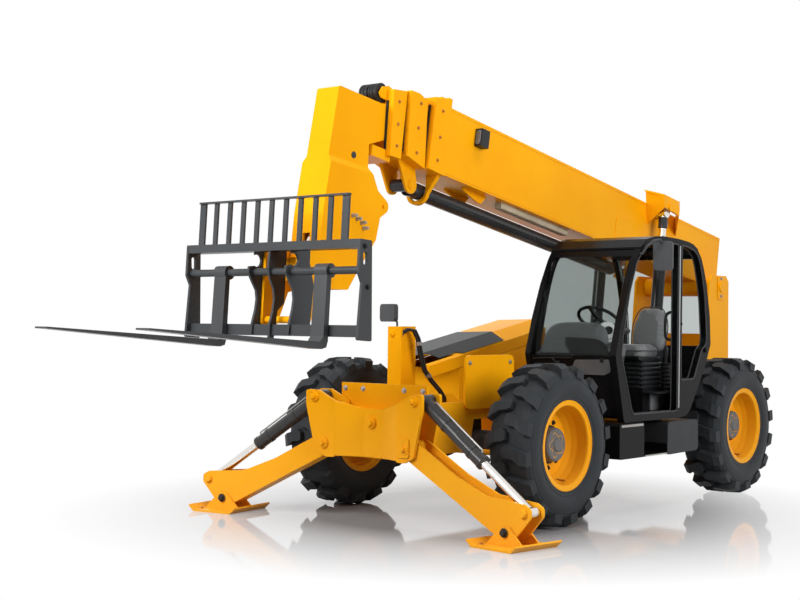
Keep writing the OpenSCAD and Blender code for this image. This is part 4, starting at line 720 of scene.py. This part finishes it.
def stuffed(name, shell, material, reach_cap):
    """Foam filling: an even skin is blown up by cloth pressure for twenty frames, then each point keeps at
    most reach_cap of its way."""
    obj = mesh_piece(name, [shell], material, 3.2)
    even = obj.modifiers.new("even", "REMESH")
    even.mode, even.voxel_size = "VOXEL", 0.007
    bpy.context.view_layer.update()
    skin = bpy.data.meshes.new_from_object(obj.evaluated_get(bpy.context.evaluated_depsgraph_get()))
    obj.modifiers.clear()
    obj.data = skin
    start = np.empty(len(skin.vertices) * 3)
    skin.vertices.foreach_get("co", start)
    start = start.reshape(-1, 3)
    foam = obj.modifiers.new("foam", "CLOTH")
    foam.settings.use_pressure = True
    foam.settings.uniform_pressure_force = 4.0
    foam.settings.effector_weights.gravity = 0.0
    foam.settings.quality = 4
    foam.point_cache.frame_start, foam.point_cache.frame_end = 1, 20
    for now in range(1, 21):
        bpy.context.scene.frame_set(now)
    swollen = obj.evaluated_get(bpy.context.evaluated_depsgraph_get())
    end = np.empty(len(skin.vertices) * 3)
    swollen.data.vertices.foreach_get("co", end)
    way = end.reshape(-1, 3) - start
    reach = np.linalg.norm(way, axis=1, keepdims=True)
    obj.modifiers.clear()
    start = start + way * np.minimum(1.0, reach_cap / np.maximum(reach, 1e-9))
    skin.vertices.foreach_set("co", start.ravel())
    bpy.context.scene.frame_set(1)
    skin.materials.clear()
    skin.materials.append(material)
    skin.polygons.foreach_set("use_smooth", np.ones(len(skin.polygons), bool))
    skin.update()
    fine = obj.modifiers.new("fine", "SUBSURF")
    fine.levels = fine.render_levels = 1
    return obj


lean = math.radians(11)
back_up = np.array([-math.sin(lean), 0, math.cos(lean)])
back_on = np.array([math.cos(lean), 0, math.sin(lean)])
cushion_form = [[-1, -1], [1, -1], [1, 1], [-1, 1]]
back_form = [[-0.88, -1], [0.88, -1], [1.0, -0.35], [0.98, 0.3], [0.62, 1], [-0.62, 1], [-0.98, 0.3],
             [-1.0, -0.35]]
cushion = pillow(at(-0.262, 0.75, 1.345), forward, leftward, upright, (0.2, 0.185, 0.045), cushion_form)
back = pillow(at(-0.592, 0.75, 1.545), leftward, back_up, back_on, (0.18, 0.205, 0.045), back_form)
for name, shell in (("seat_cushion", cushion), ("seat_back", back)):
    pad = stuffed(name, shell, weave.owner, 0.022)
    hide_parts("seat")
    carried(pad, "chassis")
vinyl = rubber("seat_vinyl", (0.05, 0.051, 0.053), rough=0.45, grain=0.2)
seat_trim = []
for middle, u, v, half, form in ((at(-0.262, 0.75, 1.358), forward, leftward, (0.206, 0.191), cushion_form),
                                 (at(-0.585, 0.75, 1.547), leftward, back_up, (0.186, 0.21), back_form)):
    ring = soft_corners(form, 0.35, 9) * half
    line = middle + ring[:, :1] * u + ring[:, 1:] * v
    seat_trim.append(swept(line, 0.0055, side=np.cross(u, v), sides=8, closed=True))
fit("seat_piping", seat_trim, vinyl, smooth=1.2)
shell_forms = (([[-0.47, 1.2803], [-0.07, 1.2803], [-0.06, 1.312], [-0.47, 1.3]], 0.012, 0.36, 0.93),
               ([[-0.66, 1.36], [-0.585, 1.36], [-0.62, 1.70], [-0.67, 1.70]], 0.02, 0.24, 0.87),
               ([[-0.6, 1.2803], [-0.47, 1.2803], [-0.47, 1.31], [-0.6, 1.42]], 0.01, 0.26, 0.88))
seat_pan = [slab(soft_corners(form, cut), wide, at(0, y, 0), forward, upright)
            for form, cut, wide, y in shell_forms]
fit("seat_shell", seat_pan, black_plastic, bevel=0.006)
arm_turn = np.arange(20) * np.pi / 10
arm_sections = ((-0.57, 0.012, 0.01), (-0.56, 0.026, 0.022), (-0.54, 0.032, 0.028), (-0.3, 0.034, 0.028),
                (-0.28, 0.028, 0.022), (-0.272, 0.012, 0.01))
armrest = [at(x, 0.535, 1.53) + np.stack([0 * arm_turn, w * np.cos(arm_turn), h * np.sin(arm_turn)], axis=1)
           for x, w, h in arm_sections]
fit("seat_armrest", [lofted(armrest)], vinyl, smooth=1.0)

# Lamps
# Work lamp on the boom, with a moulded lens, and two red tail lamps, each on a dark mounting ring.
red_lens = rubber("red_lens", (0.45, 0.01, 0.01), rough=0.18, grain=0.05)
dress(red_lens, "rear_lamps")
dress(black_plastic, "boom_lamp")
lift = math.radians(9.6)
along_boom = np.array([math.cos(lift), 0, math.sin(lift)])
square_boom = np.array([-math.sin(lift), 0, math.cos(lift)])


def on_boom(s, y, t):
    """A point of the boom: s along it from its pivot, y to the left, t above its middle line."""
    return at(-2.62, 0, 1.99) + s * along_boom + (0.33 + t) * square_boom + [0, y, 0]


lens_glass = new_finish("lamp_lens", Base_Color=(0.11, 0.115, 0.12, 1), Roughness=0.12)
lens_glass.relief(lens_glass.texture("Wave", wave_type="BANDS", bands_direction="Y", Scale=60.0), 0.5, 0.002)
lens = slab(box_outline(0.05, 0.12, 0.012), 0.006, on_boom(4.1602, 0.237, 0.135), leftward, square_boom)
fit("boom_lamp_lens", [lens], lens_glass.owner, "boom", bevel=0.002)
rings = [slab(box_outline(0.116, 0.136, 0.012), 0.01, at(-2.8101, y, 1.36), -leftward, upright)
         for y in (-0.35, 0.35)]
fit("tail_lamp_rings", rings, gloss_black, bevel=0.002)

# Boom
# Four box sections of folded plate, welded along their sides, in the same yellow. Nylon wear pads show as
# black strips at each mouth, held by three bolts a side; a ribbed carrier leads the hoses below the outer
# section.
dress(yellow, "boom_outer", "boom_mid1", "boom_mid2", "boom_nose", "quick_attach")
dress(black_plastic, "chain_drum", "chain_rollers")
nylon = rubber("pad_nylon", (0.014, 0.014, 0.015), rough=0.5, grain=0.1)
# Each mouth: its body, the foot and head of its pads, and how far out the pads and the bolts sit
mouths = [("outer", "boom", (4.767, -0.27), (4.769, 0.235), 0.1706, 0.235),
          ("second", "boom_stage_1", (5.010, -0.215), (5.047, 0.2), 0.1416, 0.205),
          ("third", "boom_stage_2", (5.184, -0.25), (5.2195, 0.14), 0.1106, 0.175)]
bolt_places = {"outer": ((4.665, 0.21), (4.665, -0.01), (4.665, -0.2)),
               "second": ((4.915, 0.2), (4.915, 0.0), (4.9, -0.2)),
               "third": ((5.145, 0.15), (5.13, -0.03), (5.115, -0.2))}
pad_width, pad_thick = 0.011, 0.020
for name, body, (foot_s, foot_t), (head_s, head_t), inner, _ in mouths:
    outline = [[foot_s, foot_t], [foot_s + pad_width, foot_t], [head_s + pad_width, head_t], [head_s, head_t]]
    pads = [slab(outline, pad_thick, on_boom(0, y, 0), along_boom, square_boom)
            for y in (inner + pad_thick, -inner)]
    fit(f"wear_pads_{name}", pads, nylon, body, bevel=0.0015)
for name, body, _, _, _, outer in mouths:
    heads = [shell for s, t in bolt_places[name] for side in (1, -1)
             for shell in bolts([on_boom(s, side * outer, t)], side * leftward, 0.018)]
    fit(f"pad_bolts_{name}", heads, brass, body)

boom_half, patch_thick = 0.2, 0.006
patch_form = soft_corners([[1.36, -0.26], [1.80, -0.26], [1.80, 0.02], [1.62, 0.06], [1.36, 0.06]], 0.03)
patches = [slab(patch_form, patch_thick, on_boom(0, y, 0), along_boom, square_boom)
           for y in (boom_half + patch_thick, -boom_half)]
fit("boom_side_patches", patches, yellow, "boom", bevel=0.002)


def bead(start, end, radius, ripple):
    """Fillet weld: a thin bar from start to end whose radius rises and falls once each ripple length."""
    span = np.linalg.norm(np.asarray(end) - start)
    t = np.linspace(0, 1, int(span / ripple * 4))
    line = np.asarray(start) * (1 - t[:, None]) + np.asarray(end) * t[:, None]
    girth = radius * (0.85 + 0.15 * np.cos(t * span / ripple * 2 * np.pi))
    return swept(line, girth, side=(0.3, 0.9, 0.1), sides=6)


welds = [bead(on_boom(-0.33, side * boom_half, edge), on_boom(4.55, side * boom_half, edge), 0.004, 0.02)
         for side in (1, -1) for edge in (-0.262, 0.262)]
fit("boom_seam_welds", welds, yellow, "boom", smooth=1.2)

beige = rubber("carrier_beige", (0.46, 0.40, 0.29), rough=0.55, grain=0.2)
boom_belly, link_count, link_pitch = -0.2828, 36, 0.03
link_s = np.arange(link_count)[:, None] * link_pitch + 2.52 + np.array([0.0, 0.004, 0.022, 0.026])
link_t = np.tile([-0.322, -0.336, -0.336, -0.322], (link_count, 1))
teeth = np.stack([link_s, link_t], axis=-1).reshape(-1, 2)
carrier_form = np.vstack([[[2.52, boom_belly], [3.6, boom_belly]], teeth[::-1]])
carrier = slab(carrier_form, 0.07, on_boom(0, 0.135, 0), along_boom, square_boom)
fit("hose_carrier", [carrier], beige, "boom")
wedge_form = [[3.78, boom_belly], [4.12, boom_belly], [4.12, -0.3], [3.9, -0.355], [3.84, -0.355]]
wedges = [slab(wedge_form, 0.014, on_boom(0, y, 0), along_boom, square_boom) for y in (0.1, -0.086)]
fit("carrier_bracket", wedges, yellow, "boom", bevel=0.002)

# Boom head
# Welded gooseneck. Its couplings for an attachment's hoses stand in two pairs on the left cheek.
socket_profile = [(0.017, 0), (0.017, 0.008), (0.012, 0.01), (0.012, 0.022), (0.016, 0.023), (0.016, 0.034),
                  (0.012, 0.036)]
plug_profile = [(0.0105, 0.03), (0.0105, 0.05), (0.007, 0.052)]
stubs = [turned(profile, at(x, 0.146, z), leftward, sides)
         for x, z in ((2.885, 2.395), (2.835, 2.372), (2.782, 2.345), (2.757, 2.305))
         for profile, sides in ((socket_profile, 6), (plug_profile, 20))]
fit("hose_couplings", stubs, zinc, "boom_head")
cap_profile = [(0.056, 0), (0.056, 0.006), (0.05, 0.008)]
pin_caps = [turned(cap_profile, at(3.16, side * 0.1879, 1.94), side * leftward, 40) for side in (1, -1)]
fit("tilt_pin_caps", pin_caps, yellow, "carriage_frame")

# Rams
# Barrels are cold-drawn tube under gloss black; rods are hard-chromed and ground. Clamped steel pipes feed
# the stabilisers' rams, and a gland ring closes each barrel.
ram_black = enamel("ram_black", (0.022, 0.022, 0.023), (0.032, 0.032, 0.033), rough=0.24, coat=0.35,
                   peel=0.04, dust=0.1)
dress(ram_black, "extension_barrel", "lift_barrels", "tilt_barrel", "leg_barrel_left", "leg_barrel_right")
chrome = new_finish("hard_chrome", Metallic=1.0)
lay = chrome.texture("Noise", Scale=70.0, Detail=3.0)
chrome.feed("Roughness", chrome.stretched(lay, 0.12, 0.22))
chrome.feed("Base Color", chrome.mixed(lay, (0.72, 0.70, 0.66), (0.82, 0.80, 0.76)))
dress(chrome.owner, "extension_rod", "lift_rods", "tilt_rod", "leg_rod_left", "leg_rod_right")
leg_sweep = math.radians(8)
leg_pivot_height, leg_pivot_out, ram_foot_out, ram_foot_height = 0.625, 0.435, 0.094, 0.99


def leg_way(side):
    """The stabiliser leg's own directions: across the leg, outward, up."""
    c, s = math.cos(leg_sweep), math.sin(leg_sweep)
    return np.array([[c, -side * s, 0], [s, side * c, 0], [0, 0, 1]])


def on_leg(side, x, out, height):
    """A point of a stabiliser: x across the leg, out along it, height above the ground."""
    return at(2.455, side * leg_pivot_out, 0) + np.array([x, out, height]) @ leg_way(side)


ram_run = np.array([0, 0.83153, -0.55547])
ram_rise = np.array([0, 0.55547, 0.83153])
clamp_runs, clamp_half = (0.3, 0.62), 0.014
pipe_line = ((0.1, 0.056), (0.12, 0.07), (0.2, 0.0705), (0.4, 0.0705), (0.64, 0.0705), (0.69, 0.07),
             (0.7, 0.054))
for hand, side in hands:
    ways = leg_way(side)
    run, rise, cross = ram_run @ ways, ram_rise @ ways, ways[0]
    ram_foot = on_leg(side, 0, ram_foot_out, ram_foot_height)
    clamps = [collar(0.033, 0.0575, 0.024, ram_foot + run * 0.7345, run)]
    for d in clamp_runs:
        clamps.append(collar(0.0535, 0.0585, 2 * clamp_half, ram_foot + run * (d - clamp_half), run))
        block_spot = ram_foot + run * d + rise * 0.052 + cross * 0.012
        clamps.append(slab(box_outline(0.026, 0.034, 0.004), 0.03, block_spot, run, cross * side))
    fit(f"leg_ram_clamps_{hand}", clamps, ram_black, f"leg_ram_barrel_{hand}", bevel=0.001)
    pipe = swept(eased([ram_foot + run * d + rise * h for d, h in pipe_line], 6), 0.007, side=cross, sides=10)
    fit(f"leg_ram_pipe_{hand}", [pipe], zinc, f"leg_ram_barrel_{hand}", smooth=0.9)
lift_glands, rod_heads = [], []
head_profile = [(0.0362, 0), (0.046, 0.008), (0.046, 0.10), (0.04, 0.11)]
for side in (1, -1):
    base, eye = at(-1.34, side * 0.34, 0.95), at(-1.582, side * 0.34, 2.714)
    way = (eye - base) / np.linalg.norm(eye - base)
    lift_glands.append(collar(0.0385, 0.0655, 0.034, base + way * 1.298, way))
    rod_heads.append(turned(head_profile, eye - way * 0.17, way))
fit("lift_ram_glands", lift_glands, ram_black, "lift_ram_barrels")
fit("lift_rod_heads", rod_heads, ram_black, "lift_ram_rods")

# Carriage and forks
# Flame-cut plate, bar and forged forks under a dark grey satin paint. Black bolts hold the shaft in its end
# plates.
tool_grey = enamel("tool_grey", (0.048, 0.051, 0.054), (0.036, 0.039, 0.042), coat=0.0, peel=0.12,
                   dust=0.0, gloss=0.2)
fork_black = enamel("fork_black", (0.035, 0.037, 0.039), (0.05, 0.052, 0.055), rough=0.32, coat=0.1,
                    peel=0.15, dust=0.0, gloss=0.3)
dress(tool_grey, "carriage")
dress(fork_black, "fork_left", "fork_right")
tilt_back = math.radians(3.5)
carriage_on = np.array([math.cos(tilt_back), 0, math.sin(tilt_back)])
carriage_up = np.array([-math.sin(tilt_back), 0, math.cos(tilt_back)])


def on_carriage(x, y, z):
    """A point of the carriage, measured from its tilt pivot."""
    return at(3.16, 0, 1.94) + x * carriage_on + z * carriage_up + [0, y, 0]


end_bolts = [shell for side in (1, -1) for shell in bolts(
    [on_carriage(x, side * 0.875, z) for x, z in ((0.432, 0.142), (0.385, -0.135))], side * leftward, 0.024)]
fit("shaft_end_bolts", end_bolts, gloss_black, "carriage_frame")

# Stabilisers
# Folded channel legs with pressed feet, in the machine's yellow. Each pin ends in a turned head with a nut,
# and the leg's own is kept by a rounded plate.
dress(yellow, "leg_left", "leg_right", "foot_left", "foot_right")
keeper_form = soft_corners([[-0.07, -0.065], [0.065, -0.065], [0.065, 0.085], [-0.07, 0.085]], 0.03)
keeper_thick = 0.006
for hand, side in hands:
    across_leg, outward, _ = leg_way(side)
    heads, nuts, rod_heads, foot_nuts = [], [], [], []
    for out, height, big in ((0.0, leg_pivot_height, 0.044), (ram_foot_out, ram_foot_height, 0.04)):
        for end in (1, -1):
            spot, way = on_leg(side, end * 0.108, out, height), across_leg * end
            heads.append(turned([(big, -0.002), (big, 0.012), (big * 0.92, 0.017)], spot, way, 40))
            nuts += bolts([spot + way * 0.0165], way, 0.036)
    for end in (1, -1):
        way = across_leg * end
        rod_heads.append(turned([(0.03, -0.001), (0.03, 0.008), (0.026, 0.012)],
                                on_leg(side, end * 0.089, 1.187, 0.26), way))
        foot_nuts += bolts([on_leg(side, end * 0.1045, 1.026, 0.11)], way, 0.04)
    fit(f"leg_pin_heads_{hand}", heads, yellow)
    fit(f"leg_pin_nuts_{hand}", nuts, yellow)
    keeper_spot = on_leg(side, 0.109 + side * keeper_thick / 2, -0.02, 0.62)
    keeper = slab(keeper_form, keeper_thick, keeper_spot, outward, upright)
    fit(f"leg_pin_keeper_{hand}", [keeper], yellow, bevel=0.002)
    fit(f"rod_pin_heads_{hand}", rod_heads, yellow, f"leg_{hand}")
    fit(f"foot_nuts_{hand}", foot_nuts, gloss_black, f"foot_{hand}")
    sole_spots = [on_leg(side, x, out, 0.016) for x in (-0.16, 0.16) for out in (0.86, 1.19)]
    fit(f"sole_bolts_{hand}", bolts(sole_spots, upright, 0.02), brass, f"foot_{hand}")

# Hood
# The engine's cover is pressed steel; its black moulding is two panels whose joint shows as a fine line.
# Two banks of pressed louvres cool the pod through its outer wall; a thin black sheet under each lip is
# painted shade.
dress(black_plastic, "hood_moulding")
pod_wall, louvre_long = -1.2, 0.40
louvre_spots = [at(x, pod_wall, z) for x in (-0.52, 0.08) for z in 0.80 + 0.05 * np.arange(6)]
louvre_section = [[0.001, 0.0], [-0.02, 0.004], [-0.02, 0.008], [0.001, 0.036]]
louvres = [slab(louvre_section, louvre_long, spot, leftward, upright) for spot in louvre_spots]
fit("pod_louvres", louvres, yellow, bevel=0.0015)
# Under each louvre's lip a thin black sheet is painted shade where its opening would show.
shade_sheet_form = box_outline(0.39, 0.010, 0.003)
slots = [slab(shade_sheet_form, 0.0015, spot + [louvre_long / 2, 0, -0.005], forward, upright)
         for spot in louvre_spots]
fit("pod_louvre_shade_sheets", slots, black_plastic)
